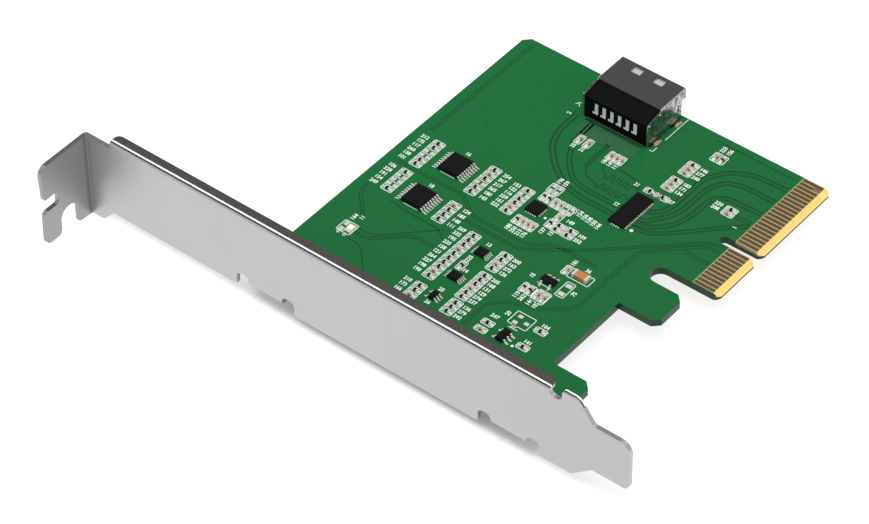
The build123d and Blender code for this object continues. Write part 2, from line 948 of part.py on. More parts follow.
def indicator_lamp():
    """White base with its lens, and the plated ends, along the board."""
    x, y = cell(*lamp_place)
    half = lamp_length / 2
    side = lamp_width / 2
    inner = half - end_cap
    base = block(x - inner, x + inner, y - side, y + side, 0, lamp_base_height)
    lens = block(
        x - lamp_lens_length / 2,
        x + lamp_lens_length / 2,
        y - side,
        y + side,
        lamp_base_height,
        lamp_base_height + lamp_lens_height,
    )
    lens = chamfer(lens.faces().sort_by(Axis.Z)[-1].edges(), lamp_lens_edge)
    ends = [block(x + s * half, x + s * inner, y - side, y + side, 0, lamp_base_height) for s in (-1, 1)]
    return base + lens, ends


def all_parts():
    """Every piece by name, as a list of its separate solids."""
    resistor_bodies, resistor_ends = passive_parts("R", resistor_height)
    capacitor_bodies, capacitor_ends = passive_parts("C", capacitor_height)
    large_body, large_ends = large_capacitor()
    lamp_body, lamp_ends = indicator_lamp()
    upper_body, upper_leads = wide_chip(upper_chip_place)
    lower_body, lower_leads = wide_chip(lower_chip_place)
    long_body, long_pads = leadless_chip(
        long_chip_place, long_chip_length, long_chip_width, long_chip_length_count, long_chip_width_count
    )
    square_body, square_pads = leadless_chip(
        square_chip_place, square_chip_side, square_chip_side, square_chip_pad_count, square_chip_pad_count
    )
    small_chips = [small_chip(place) for place in small_chip_places]
    regulators = [
        regulator(far_regulator_place, 90),
        regulator(near_regulator_place, 0),
        little_regulator(little_regulator_place),
    ]
    return {
        "circuit_board": [circuit_board()],
        "bracket": [bracket()],
        "bracket_screw_low": [bracket_screw(board_tab_low)],
        "bracket_screw_high": [bracket_screw(board_tab_high)],
        "edge_contacts_component_side": edge_contacts(1),
        "edge_contacts_solder_side": edge_contacts(-1),
        "receptacle_shell": [receptacle_shell()],
        "receptacle_housing": [receptacle_housing()],
        "receptacle_upper_springs": receptacle_springs(1),
        "receptacle_lower_springs": receptacle_springs(-1),
        "receptacle_tails": receptacle_tails(),
        "receptacle_rear_posts": receptacle_posts(),
        "upper_chip_body": [upper_body],
        "upper_chip_leads": upper_leads,
        "lower_chip_body": [lower_body],
        "lower_chip_leads": lower_leads,
        "long_chip_body": [long_body],
        "long_chip_pads": long_pads,
        "square_chip_body": [square_body],
        "square_chip_pads": square_pads,
        "small_chip_bodies": [body for body, leads in small_chips],
        "small_chip_leads": [lead for body, leads in small_chips for lead in leads],
        "regulator_bodies": [body for body, leads in regulators],
        "regulator_leads": [lead for body, leads in regulators for lead in leads],
        "resistor_bodies": resistor_bodies,
        "resistor_ends": resistor_ends,
        "capacitor_bodies": capacitor_bodies,
        "capacitor_ends": capacitor_ends,
        "large_capacitor_body": [large_body],
        "large_capacitor_ends": large_ends,
        "indicator_lamp_body": [lamp_body],
        "indicator_lamp_ends": lamp_ends,
    }


def origin_shift(parts):
    """Move that puts the origin in the middle of the underside of the whole card."""
    boxes = [solid.bounding_box() for solids in parts.values() for solid in solids]
    low_x = min(box.min.X for box in boxes)
    high_x = max(box.max.X for box in boxes)
    low_y = min(box.min.Y for box in boxes)
    high_y = max(box.max.Y for box in boxes)
    low_z = min(box.min.Z for box in boxes)
    return Pos(-(low_x + high_x) / 2, -(low_y + high_y) / 2, -low_z)


os.makedirs("parts", exist_ok=True)
card = all_parts()
shift = origin_shift(card)
print("shift", shift.position)
for name, solids in card.items():
    moved = [shift * solid for solid in solids]
    shape = moved[0] if len(moved) == 1 else Compound(children=moved)
    export_step(shape, f"parts/{name}.step")
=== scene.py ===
import json
import math

import bpy
from mathutils import Matrix, Vector


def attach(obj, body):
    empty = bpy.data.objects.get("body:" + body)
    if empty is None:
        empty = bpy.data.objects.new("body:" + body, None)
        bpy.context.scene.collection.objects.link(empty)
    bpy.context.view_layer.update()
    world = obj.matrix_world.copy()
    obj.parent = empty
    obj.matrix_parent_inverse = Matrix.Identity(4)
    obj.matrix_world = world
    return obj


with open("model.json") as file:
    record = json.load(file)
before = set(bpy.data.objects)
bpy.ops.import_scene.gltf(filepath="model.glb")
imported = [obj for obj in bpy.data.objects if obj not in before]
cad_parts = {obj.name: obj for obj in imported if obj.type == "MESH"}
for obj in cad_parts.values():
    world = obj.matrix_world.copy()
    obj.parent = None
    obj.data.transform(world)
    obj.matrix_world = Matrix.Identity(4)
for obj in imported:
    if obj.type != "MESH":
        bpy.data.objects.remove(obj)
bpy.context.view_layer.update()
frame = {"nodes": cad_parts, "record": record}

# The card is drawn in millimetres from the bracket's outer face (x), the contact edge (y) and the
# component face (z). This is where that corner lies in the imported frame.
MM = 0.001
CORNER = Vector((-34.866, -45.305, 6.4))

# Camera fitted to the photo: place in metres, angles in degrees, lens and sensor in millimetres, and the
# nearest and farthest that it sees in metres
CAMERA_PLACE = (-0.39733, -0.31485, 0.48410)
CAMERA_TILT = 46.22
CAMERA_TURN = -51.10
CAMERA_ROLL = -0.43
CAMERA_LENS = 162.42
CAMERA_SHIFT = (-0.0144, -0.0066)
CAMERA_SENSOR = 36.0
CAMERA_RANGE = (0.01, 10.0)

# Floor: half its side in metres, its two tones, and their grain in millimetres
FLOOR_HALF = 3.0
FLOOR_TONES = ((0.88, 0.88, 0.88), (0.90, 0.90, 0.90))
FLOOR_GRAIN = 40.0

# Share of the floor's look that is plain white to the camera and in reflections: in front of the bracket,
# under it and beyond it, the places along X between these, and the strength of that white
SHARE_IN_FRONT = 0.93
SHARE_AT_BRACKET = 0.12
SHARE_BEYOND = 0.68
FRONT_REACH = (-0.6, 2.5)
SHARE_REACH = (4.0, 14.0)
FLOOR_WHITE = 1.2

# Light all round, and a darker zone in reflections: its direction, and how nearly a reflection has to point
# that way for the zone's rim and core
WORLD_LIGHT = (0.66, 0.66, 0.66)
WORLD_DARK = (0.10, 0.10, 0.10)
DARK_TOWARDS = (0.57, 0.45, 0.69)
DARK_RIM_CORE = (0.70, 0.93)

# Key light: place and width in metres, power in watts
KEY_PLACE = (-0.12, -0.10, 1.0)
KEY_WIDTH = 1.0
KEY_POWER = 8.9

# Colours, linear
WHITE = (1.0, 1.0, 1.0)
MASK_GREEN = (0.010, 0.131, 0.037)
MASK_DARK = (0.011, 0.110, 0.033)
MASK_EDGE = (0.010, 0.045, 0.018)
TRACK_GREEN = (0.008, 0.075, 0.026)
VIA_BROWN = (0.012, 0.070, 0.026)
LAND_GREEN = (0.042, 0.125, 0.062)
LATCH_GREY = (0.48, 0.48, 0.48)
LAMINATE = (0.34, 0.30, 0.17)
LAMINATE_DARK = (0.17, 0.13, 0.06)
BEVEL_CREAM = (0.90, 0.62, 0.20)
SOLDER = (0.71, 0.68, 0.66)
FOOT_BRONZE = (0.62, 0.47, 0.33)
STEEL = (0.52, 0.52, 0.52)
# Painted shade of the plated steel: past the outer face, in the fold, on the flange's bend and top
STEEL_PAINTED_SHADE = (0.040, 0.036, 0.034)
FLANGE_PAINTED_SHADE_PALE = (0.062, 0.056, 0.053)
# Painted highlight along the bend of the long flange
BEND_PAINTED_HIGHLIGHT = (0.9, 0.9, 0.9)
SHELL = (0.63, 0.63, 0.64)
# Sides of the shell: painted shade, with a mottled painted reflection of the board
SHELL_SIDE_PAINTED_SHADE = (0.50, 0.50, 0.51)
SHELL_PAINTED_REFLECTION = (0.14, 0.14, 0.15)
GOLD = (0.90, 0.64, 0.28)
GOLD_DULL = (0.70, 0.48, 0.22)
TIN = (0.74, 0.72, 0.70)
LEGEND_WHITE = (0.74, 0.84, 0.76)
# Tails of the receptacle: near black, painted shade and painted reflection of the black housing
TAIL_PAINTED_SHADE = (0.02, 0.025, 0.022)
POST_GREY = (0.78, 0.78, 0.78)
MOULDING = (0.002, 0.002, 0.002)
CHIP_BLACK = (0.007, 0.0068, 0.007)
RESISTOR_BLACK = (0.006, 0.006, 0.006)
CAPACITOR_TAN = (0.52, 0.30, 0.17)
CAPACITOR_ORANGE = (0.46, 0.20, 0.05)
LAMP_WHITE = (0.92, 0.86, 0.70)

# Share of the darker tone in a plain finish, and how dark that tone is
DARK_SHARE = 0.2
DARK_TONE = 0.6

# Print: width of its lines and how near two lines count as one, in millimetres, and the sides of a dot
LINE_WIDTH = 0.15
SAME_LINE = 0.05
DOT_SIDES = 16

# Printed numbers: height in millimetres, share of the plain width, boldness as a share of the height, and
# steps in a curve; then the small parts' first number, the step to the next and the span they stay in
DIGIT_SIZE = 1.2
DIGIT_NARROWING = 0.92
DIGIT_BOLDNESS = 0.025
DIGIT_STEPS = 2
FIRST_NUMBER = 101
NUMBER_STEP = 37
NUMBER_SPAN = 180

# Printed box of a small part, millimetres. Parts in one row are less than this out of line, and between
# these distances apart
CELL_LENGTH = 2.4
CELL_WIDTH = 1.32
ROW_SLIP = 0.4
ROW_PITCH = (0.5, 1.7)

# Pads, millimetres: size and distance from the middle of a small part, sizes of the empty ones, how much
# narrower a pad is than its lead, and how far its sides lean in
PAD_LENGTH = 0.82
PAD_WIDTH = 0.8
PAD_MIDDLE = 0.66
EMPTY_PAD_SIZE = (0.75, 0.95)
WIDE_EMPTY_PAD_SIZE = (0.95, 1.25)
LEAD_MARGIN = 0.02
PAD_SLANT = 0.03

# Solder against a small part's end, millimetres: outline (out from the end, and up), half width there, and
# how much of it is lost for each millimetre outwards
FILLET_OUTLINE = [(0.0, 0.0), (0.42, 0.0), (0.24, 0.08), (0.1, 0.18), (0.0, 0.3)]
FILLET_HALF = 0.3
FILLET_TAPER = 0.25

# Tracks, millimetres: room for a corner's curve, steps in it, and the same for the winding tracks with
# their width
TRACK_BEND = 1.6
CORNER_STEPS = 6
MEANDER_BEND = 0.3
MEANDER_WIDTH = 0.28

# Empty places for small parts: x, y, and whether they stand up the board
EMPTY_CELLS = [
    (43.51, 63.0, True), (44.84, 63.0, True), (33.99, 62.9, True), (35.32, 62.9, True), (36.65, 62.9, True),
    (44.07, 50.65, True), (46.37, 42.55, True), (51.04, 38.34, False), (51.04, 39.64, False),
    (48.14, 33.35, False), (48.14, 34.55, False), (61.12, 23.96, True), (20.3, 62.75, False),
]
EMPTY_PADS = [(21.6, 24.0), (19.9, 24.0), (20.75, 22.1)]
WIDE_EMPTY_PADS = [(30.45, 22.0), (32.75, 22.0)]

# Leads that get a pad: leads, their bodies, pad under the foot, pad beyond the foot
LEADED = [
    ("upper_chip_leads", "upper_chip_body", 0.5, 0.42),
    ("lower_chip_leads", "lower_chip_body", 0.5, 0.42),
    ("small_chip_leads", "small_chip_bodies", 0.35, 0.3),
    ("regulator_leads", "regulator_bodies", 0.4, 0.35),
    ("long_chip_pads", "long_chip_body", 0.1, 0.22),
    ("square_chip_pads", "square_chip_body", 0.1, 0.15),
    ("large_capacitor_ends", "large_capacitor_body", 0.3, 0.5),
    ("indicator_lamp_ends", "indicator_lamp_body", 0.1, 0.3),
]

# Sides of the receptacle, how deep in them their painted shade and painted reflection start and are full,
# and
# the pips on them: x and z, then radius and height of each ring, and how many sides it has
RECEPTACLE_SIDES = (32.58, 47.28)
SIDE_SKIN = (0.1, 0.05)
PIP_PLACES = [(73.5, 5.65), (70.25, 5.2)]
PIP_RINGS = [(0.2, 0.0), (0.17, 0.1), (0.08, 0.16)]
PIP_SIDES = 10

# Feet of the receptacle's posts: rear face that they end at, thickness, reach up and down the card from
# the post's middle, and reach below and above the post's lower end
REAR_FACE = 70.05
POST_FOOT_THICKNESS = 0.03
POST_FOOT_UP = 0.75
POST_FOOT_DOWN = 0.4
POST_FOOT_BELOW = 0.1
POST_FOOT_ABOVE = 0.35

# Plates in the windows of the shell: from x to x, middles in y, half width, top and thickness
WINDOW_ALONG = (79.0, 80.95)
WINDOWS_ACROSS = (37.43, 42.43)
WINDOW_HALF = 1.25
LATCH_TOP = 6.1
LATCH_THICKNESS = 0.06

# Lands of the receptacle's tails, and how far they reach under a tail
LAND_LENGTH = 3.6
LAND_WIDTH = 0.38
LAND_COVER = 0.1

# Soldered feet beside the receptacle: middles, then size, height and lean of each, and the solder on it:
# its offset, size and underside
SHELL_FEET = (72.4, 78.8)
SHELL_FOOT_Y = 31.95
SHELL_FOOT_SIZE = (1.9, 0.5)
SHELL_FOOT_HEIGHT = 0.12
SHELL_FOOT_SLANT = 0.05
FOOT_SOLDER_OFFSET = (-0.2, 0.3)
FOOT_SOLDER_SIZE = (1.0, 0.4)
FOOT_SOLDER_BASE = 0.06

# Where the numbers stand: parts between x0 and x1, y0 and y1 have theirs at this distance along x and y
NUMBER_ZONES = [
    (30.0, 50.0, 60.0, 66.0, 0.0, 3.15),
    (30.0, 50.0, 49.0, 53.0, 0.0, -2.75),
    (40.0, 50.0, 41.0, 44.0, 0.0, 2.6),
    (12.0, 34.0, 41.5, 44.0, 0.0, 2.75),
    (12.0, 34.0, 33.0, 37.0, 0.0, -2.35),
    (40.0, 45.0, 29.0, 31.0, 0.0, -2.35),
    (62.0, 73.0, 22.0, 25.0, 0.0, -2.35),
    (63.0, 68.0, 9.0, 13.0, 0.0, 2.75),
    (39.0, 42.0, 35.0, 41.0, -2.55, 0.0),
    (50.0, 52.0, 37.5, 40.5, 2.3, 0.0),
    (26.0, 29.0, 22.5, 29.0, -2.3, 0.0),
    (63.0, 66.0, 33.0, 45.0, -1.75, 0.0),
    (74.0, 77.0, 19.0, 23.0, 2.5, 0.0),
    (24.0, 26.5, 39.0, 41.0, 2.2, 0.0),
    (34.5, 36.5, 24.0, 26.0, 2.3, 0.0),
    (16.0, 18.0, 27.0, 29.0, 2.0, 0.0),
    (14.0, 16.0, 27.0, 29.0, -1.9, 0.0),
    (14.0, 22.0, 18.0, 20.0, 1.4, 0.0),
    (19.5, 21.5, 62.0, 64.0, 2.9, 0.0),
]

# Print that belongs to no small part: boxes (x0, x1, y0, y1), lines (x0, y0, x1, y1), dots (x, y, radius)
# and numbers (digits, x, y, turn in degrees)
PRINTED_BOXES = [
    (34.55, 36.9, 19.4, 24.5), (19.2, 22.5, 21.2, 25.2), (29.6, 33.6, 21.1, 22.9),
    (26.0, 29.1, 22.9, 25.6), (18.9, 21.8, 60.5, 63.5),
]
PRINTED_LINES = [
    (69.9, 31.35, 71.2, 31.35), (69.9, 31.35, 69.9, 32.0), (73.9, 31.35, 80.9, 31.35),
    (42.05, 55.1, 42.05, 58.2), (31.45, 55.1, 31.45, 58.2), (13.34, 33.6, 13.34, 36.0),
    (18.2, 61.3, 18.8, 61.3), (18.5, 61.0, 18.5, 61.6), (18.2, 62.7, 18.8, 62.7), (18.5, 62.4, 18.5, 63.0),
    (71.6, 49.2, 72.4, 50.0), (71.8, 50.2, 72.6, 49.5), (30.2, 24.2, 30.2, 27.0), (18.4, 22.4, 18.4, 24.2),
]
PRINTED_DOTS = [(50.85, 21.95, 0.36), (14.97, 20.78, 0.28), (43.95, 35.9, 0.28)]
PRINTED_NUMBERS = [
    ("16", 48.7, 57.1, -90), ("18", 38.0, 57.1, -90), ("12", 54.7, 28.1, 0), ("1", 62.8, 8.0, 0),
    ("25", 18.3, 39.0, -90), ("26", 14.4, 39.0, -90), ("14", 24.6, 38.7, -90), ("13", 32.3, 39.5, -90),
    ("15", 31.0, 28.7, 0), ("137", 41.0, 34.3, 0), ("135", 41.6, 32.7, 0), ("149", 45.8, 31.7, -90),
    ("20", 20.9, 26.2, 0), ("75", 31.7, 20.1, 0), ("36", 37.8, 21.6, -90), ("27", 18.8, 23.5, -90),
    ("11", 23.9, 61.5, 0), ("2", 69.0, 49.6, 0), ("21", 61.1, 28.3, -90), ("57", 61.1, 20.7, -90),
    ("151", 48.75, 32.7, 0), ("154", 48.6, 31.6, 0), ("156", 48.45, 30.5, 0), ("138", 48.3, 29.4, 0),
    ("150", 48.15, 28.3, 0), ("144", 48.0, 27.2, 0),
]

# Tracks under the mask: corners of the middle line, how many run together, their pitch and width
TRACKS = [
    ([(70.0, 48.3), (64.5, 48.3), (60.3, 47.0), (56.0, 42.9), (53.1, 38.6), (52.2, 35.0), (52.2, 27.2)],
     2, 0.9, 0.42),
    ([(69.8, 44.6), (63.0, 44.2), (59.0, 42.1), (55.4, 38.7), (54.4, 35.6), (54.4, 27.2)], 2, 0.8, 0.36),
    ([(66.5, 38.6), (59.8, 38.6)], 2, 0.5, 0.3),
    ([(59.8, 38.6), (57.2, 37.0), (56.8, 34.2)], 1, 0.5, 0.3),
    ([(66.0, 36.2), (61.6, 36.2), (59.9, 35.2), (59.7, 34.2)], 1, 0.5, 0.3),
    ([(62.3, 33.0), (62.0, 29.2), (60.4, 27.3)], 1, 0.5, 0.45),
    ([(54.0, 23.0), (54.3, 21.3), (58.5, 18.5), (61.0, 17.9), (68.0, 17.8), (71.5, 16.2), (72.6, 12.6),
      (72.6, 6.2)], 2, 0.85, 0.42),
    ([(56.3, 23.0), (57.6, 20.9), (60.0, 19.9), (70.0, 19.8), (74.0, 17.2), (76.2, 13.0), (76.5, 6.2)],
     2, 0.85, 0.42),
    ([(52.6, 23.0), (53.2, 20.0), (56.8, 16.8), (60.5, 15.8), (66.0, 15.7), (68.2, 13.8), (68.5, 6.2)],
     2, 0.85, 0.42),
    ([(51.6, 23.0), (51.9, 19.4), (54.6, 16.1), (57.0, 13.8), (59.2, 11.8), (62.5, 8.6), (64.6, 6.2)],
     2, 0.75, 0.36),
    ([(34.8, 48.0), (34.8, 34.6), (39.0, 29.0), (41.5, 25.6), (50.0, 16.5), (57.0, 9.0), (57.3, 6.2)],
     2, 0.55, 0.26),
    ([(22.5, 28.6), (24.3, 26.0), (24.5, 23.2), (28.6, 18.3), (30.2, 17.7), (47.3, 17.7), (55.7, 9.2),
      (55.8, 6.2)], 2, 0.55, 0.2),
    ([(14.0, 30.7), (20.5, 30.7), (22.5, 28.6)], 2, 0.5, 0.2),
    ([(18.3, 60.4), (18.3, 57.3), (13.6, 52.8)], 1, 0.5, 0.28),
    ([(20.2, 60.4), (20.2, 57.3), (25.9, 51.4), (25.9, 46.8)], 2, 0.55, 0.22),
    ([(21.4, 60.4), (21.4, 57.2), (30.5, 48.1)], 1, 0.55, 0.26),
    ([(23.6, 61.5), (25.0, 62.3), (29.2, 66.4), (31.8, 66.5)], 2, 0.5, 0.2),
    ([(49.5, 66.4), (80.0, 66.4)], 2, 0.6, 0.22),
    ([(39.6, 66.0), (39.6, 51.0), (36.4, 46.6), (36.4, 34.6), (39.6, 30.0), (39.6, 21.0)], 2, 0.55, 0.22),
    ([(30.6, 60.5), (30.0, 57.0), (30.0, 49.0), (28.4, 46.9)], 1, 0.5, 0.3),
    ([(52.4, 11.2), (52.4, 6.2)], 2, 0.6, 0.26),
    ([(65.3, 9.8), (65.3, 6.2)], 2, 0.7, 0.26),
    ([(79.6, 24.0), (79.6, 6.8)], 1, 0.6, 0.3),
]
MEANDERS = [(56.8, 27.3, 34.2, 0.75, 1.5), (59.7, 27.3, 34.2, 0.75, 1.5)]

# Plated holes: their places, then radius and height of each ring of one, and its sides
VIAS = [
    (55.8, 62.5), (61.0, 62.5), (73.0, 62.4), (77.8, 62.4), (57.0, 59.4), (71.6, 58.1), (66.0, 55.2),
    (52.4, 54.0), (62.6, 52.0), (51.0, 46.0), (59.2, 38.6), (62.3, 33.3), (69.2, 8.1), (71.0, 8.4),
    (74.6, 8.2), (77.8, 7.7), (79.8, 8.0), (66.9, 7.6), (63.9, 10.9), (60.9, 7.6), (57.1, 30.2),
    (47.6, 27.4), (38.2, 31.9), (24.8, 56.8), (16.6, 48.4), (27.4, 53.6), (33.0, 30.6), (24.2, 32.0),
    (36.6, 15.4), (28.8, 18.3), (52.5, 11.6), (50.6, 11.0), (40.9, 20.4), (49.0, 24.9), (75.2, 27.2),
    (68.2, 26.9), (78.4, 29.8), (45.6, 24.6), (31.2, 54.9), (19.4, 33.0),
]
VIA_RINGS = [(0.24, 0.0), (0.22, 0.015), (0.11, 0.015), (0.10, 0.004)]
VIA_SIDES = 12

# Board, millimetres: thickness, and where its dark edge passes into the green of the component face and of
# the solder face. Contacts: left end and its blur, upper edge, how deep it is bare between them, upper edge
# of the bevel, and the bare patch below the short one (from x to x, from y to y, and its blur)
BOARD_THICKNESS = 1.57
COMPONENT_SKIN = (-0.03, -0.01)
SOLDER_SKIN = (0.005, 0.025)
NEAR_CONTACTS = 47.05
CONTACT_BLUR = 0.1
CONTACT_TOP = (5.75, 5.85)
CONTACT_DEPTH = (-0.7, -0.5)
BEVEL_TOP = (1.2, 1.3)
BARE_ALONG = (79.3, 80.2)
BARE_ACROSS = (1.3, 2.85)
BARE_BLUR = 0.05

# The mask is painted lighter in this direction, between these places, millimetres: painted light across the
# board; grains of its cloud and weave
MASK_TOWARDS = (0.6, 0.8)
MASK_REACH = (20.0, 105.0)
MASK_CLOUD = 9.0
MASK_WEAVE = 0.5

# Bracket, millimetres: skin of its outer face (from x to x), past which the screw tab gets painted shade,
# and the inner fold between its face and its screw tab (from x to x, from y to y, and its blur), with
# painted shade in the crease; each with its share of the dark painted-shade tone
OUTER_SKIN = (-0.1, 0.0)
OUTER_PAINTED_SHADE = 0.34
FOLD_ALONG = (-0.86, -0.02)
FOLD_ACROSS = (104.2, 105.09)
FOLD_BLUR = 0.02
FOLD_PAINTED_SHADE = 0.58

# Long flange of the bracket, millimetres: top, how far below it its painted look starts and is full, and its
# end;
# then where the painted shade band, the painted highlight line and the painted shade on top start on its
# bend, from x to x
FLANGE_TOP = 13.96
FLANGE_SKIN = (0.4, 0.35)
FLANGE_END = (99.7, 99.9)
BEND_PAINTED_SHADE = (0.27, 0.29)
BEND_HIGHLIGHT = (0.52, 0.54)
BEND_TOP = (0.84, 0.86)

# Grains of the plating: fine, and cloudy with this share of the plain tone where it is darkest
PLATING_GRAIN = 0.35
PLATING_CLOUD = 14.0
PLATING_DARK = 0.95

# Heights of the flat layers above the component face, millimetres
TRACE_HEIGHT = 0.012
PAD_HEIGHT = 0.03
LEGEND_HEIGHT = 0.024


def at(x, y, z=0.0):
    """Point of the card, drawn in millimetres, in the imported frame."""
    return (Vector((x, y, z)) + CORNER) * MM


def card_place(point):
    """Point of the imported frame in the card's own millimetres."""
    return Vector(point) / MM - CORNER


class Value:
    """Socket of a shader node, with the usual signs for sums and products."""

    def __init__(self, shader, socket):
        self.shader = shader
        self.socket = socket

    def __add__(self, other):
        return self.shader.math("ADD", self, other)

    def __sub__(self, other):
        return self.shader.math("SUBTRACT", self, other)

    def __rsub__(self, other):
        return self.shader.math("SUBTRACT", other, self)

    def __mul__(self, other):
        return self.shader.math("MULTIPLY", self, other)

    __radd__ = __add__
    __rmul__ = __mul__

    def clipped(self, low, high):
        """0 up to low, 1 from high on, and a smooth rise between them."""
        return self.shader.ramp(self, low, high)

    def between(self, ends, blur):
        """1 between two ends and 0 outside them, with the blur outside."""
        low, high = ends
        return self.clipped(low - blur, low) * (1.0 - self.clipped(high, high + blur))


class Shader:
    """Node tree of one material or world."""

    def __init__(self, owner):
        owner.use_nodes = True
        self.tree = owner.node_tree
        self.tree.nodes.clear()

    def node(self, kind, settings=None, **values):
        """One node of any kind; values go to the sockets of that name."""
        made = self.tree.nodes.new(kind)
        for name, setting in (settings or {}).items():
            setattr(made, name, setting)
        for name, value in values.items():
            self.feed(made.inputs[name.replace("_", " ")], value)
        return made

    def feed(self, socket, value):
        """Constant or link into a socket."""
        if isinstance(value, Value):
            self.tree.links.new(value.socket, socket)
        elif isinstance(value, tuple) and len(value) == 3 and socket.type == "RGBA":
            socket.default_value = (*value, 1.0)
        else:
            socket.default_value = value

    def math(self, operation, *operands):
        """Math node on values and numbers."""
        made = self.tree.nodes.new("ShaderNodeMath")
        made.operation = operation
        for socket, operand in zip(made.inputs, operands):
            self.feed(socket, operand)
        return Value(self, made.outputs[0])

    def ramp(self, value, low, high):
        """Smooth rise from 0 at low to 1 at high."""
        made = self.node(
            "ShaderNodeMapRange",
            {"interpolation_type": "SMOOTHSTEP"},
            Value=value,
            From_Min=low,
            From_Max=high,
        )
        return Value(self, made.outputs[0])

    def mix(self, factor, first, second):
        """Colour between two colours; sockets 6 and 7 are the ones for colours."""
        made = self.tree.nodes.new("ShaderNodeMix")
        made.data_type = "RGBA"
        for number, value in ((0, factor), (6, first), (7, second)):
            self.feed(made.inputs[number], value)
        return Value(self, made.outputs[2])

    def place(self):
        """Object coordinates in the card's millimetres: (x, y, z)."""
        coordinates = self.node("ShaderNodeTexCoord")
        parts = self.node("ShaderNodeSeparateXYZ")
        self.tree.links.new(coordinates.outputs["Object"], parts.inputs[0])
        return [Value(self, parts.outputs[i]) * (1.0 / MM) - CORNER[i] for i in range(3)]

    def noise(self, grain, detail=2.0):
        """Noise from 0 to 1 with a grain in millimetres."""
        coordinates = self.node("ShaderNodeTexCoord")
        mapping = self.node("ShaderNodeMapping")
        self.tree.links.new(coordinates.outputs["Object"], mapping.inputs["Vector"])
        mapping.inputs["Scale"].default_value = [1.0 / (MM * grain)] * 3
        made = self.node("ShaderNodeTexNoise", Scale=1.0, Detail=detail)
        self.tree.links.new(mapping.outputs[0], made.inputs["Vector"])
        return Value(self, made.outputs[0])

    def bump(self, height, distance):
        """Normal from a height; distance in millimetres."""
        made = self.node("ShaderNodeBump", Height=height, Distance=distance * MM, Strength=1.0)
        return Value(self, made.outputs[0])

    def surface(self, **values):
        """Principled surface into the output."""
        body = self.node("ShaderNodeBsdfPrincipled", **values)
        out = self.node("ShaderNodeOutputMaterial")
        self.tree.links.new(body.outputs[0], out.inputs["Surface"])


def material(name):
    """Empty material with its shader tree."""
    made = bpy.data.materials.new(name)
    return made, Shader(made)


def speckled(name, colour, grain, spread, bump=0.0, **values):
    """Plain colour that varies a little from place to place; grain and bump in millimetres."""
    made, shader = material(name)
    noise = shader.noise(grain)
    shade = (noise - 0.5) * (2.0 * spread)
    dark = tuple(c * DARK_TONE for c in colour)
    values["Base_Color"] = shader.mix(DARK_SHARE - shade, colour, dark)
    if bump:
        values["Normal"] = shader.bump(noise, bump)
    shader.surface(**values)
    return made


def matt(name, colour, *texture, **values):
    """Plain colour with little sheen, for black mouldings."""
    return speckled(name, colour, *texture, Specular_IOR_Level=0.09, **values)


def edge_bevel(y):
    """1 on the bevel of the contact edge."""
    return 1.0 - y.clipped(*BEVEL_TOP)


def solder_mask():
    """Glossy green mask with painted light, lighter towards the far top corner, and bare laminate between
    the contacts.
    """
    made, shader = material("solder_mask")
    x, y, z = shader.place()
    # Painted light: the mask is lighter towards the far top corner
    far = (x * MASK_TOWARDS[0] + y * MASK_TOWARDS[1]).clipped(*MASK_REACH)
    cloud = shader.noise(MASK_CLOUD, 3.0)
    green = shader.mix(far * 0.7 + cloud * 0.3, MASK_DARK, MASK_GREEN)
    weave = shader.noise(MASK_WEAVE, 1.0)
    top = z.clipped(*COMPONENT_SKIN)
    under = 1.0 - z.clipped(SOLDER_SKIN[0] - BOARD_THICKNESS, SOLDER_SKIN[1] - BOARD_THICKNESS)
    masked = shader.mix(top + under, MASK_EDGE, green)
    contacts = (1.0 - y.clipped(*CONTACT_TOP)) * x.clipped(NEAR_CONTACTS - CONTACT_BLUR, NEAR_CONTACTS)
    patch = x.between(BARE_ALONG, BARE_BLUR) * y.between(BARE_ACROSS, BARE_BLUR)
    bare = shader.mix(edge_bevel(y), shader.mix(patch, LAMINATE, LAMINATE_DARK), BEVEL_CREAM)
    colour = shader.mix(contacts * (z.clipped(*CONTACT_DEPTH) + under), masked, bare)
    shader.surface(
        Base_Color=colour,
        Roughness=0.2 + weave * 0.06,
        Specular_IOR_Level=0.2,
        Normal=shader.bump(weave, 0.002),
    )
    return made


def gold_plate():
    """Gold plating: dull on the flat of the contacts, bright where they follow the bevel."""
    made, shader = material("gold")
    bevel = edge_bevel(shader.place()[1])
    worn = shader.noise(0.3)
    shader.surface(
        Base_Color=shader.mix(bevel, shader.mix(worn, GOLD, GOLD_DULL), BEVEL_CREAM),
        Metallic=1.0 - bevel * 0.75,
        Roughness=0.24 + worn * 0.05,
    )
    return made


def shell_sheet():
    """Bright sheet; on its two sides painted shade and a mottled painted reflection of the board."""
    made, shader = material("shell_steel")
    y = shader.place()[1]
    near, far = RECEPTACLE_SIDES
    half = (far - near) / 2
    side = shader.math("ABSOLUTE", y - (near + far) / 2).clipped(half - SIDE_SKIN[0], half - SIDE_SKIN[1])
    # Painted reflection of the board: dark mottles on the two sides
    painted_reflection = shader.noise(0.9, 3.0).clipped(0.35, 0.65)
    sides = shader.mix(painted_reflection, SHELL_PAINTED_REFLECTION, SHELL_SIDE_PAINTED_SHADE)
    shader.surface(
        Base_Color=shader.mix(side, SHELL, sides),
        Metallic=1.0,
        Roughness=0.18 + side * 0.06,
    )
    return made


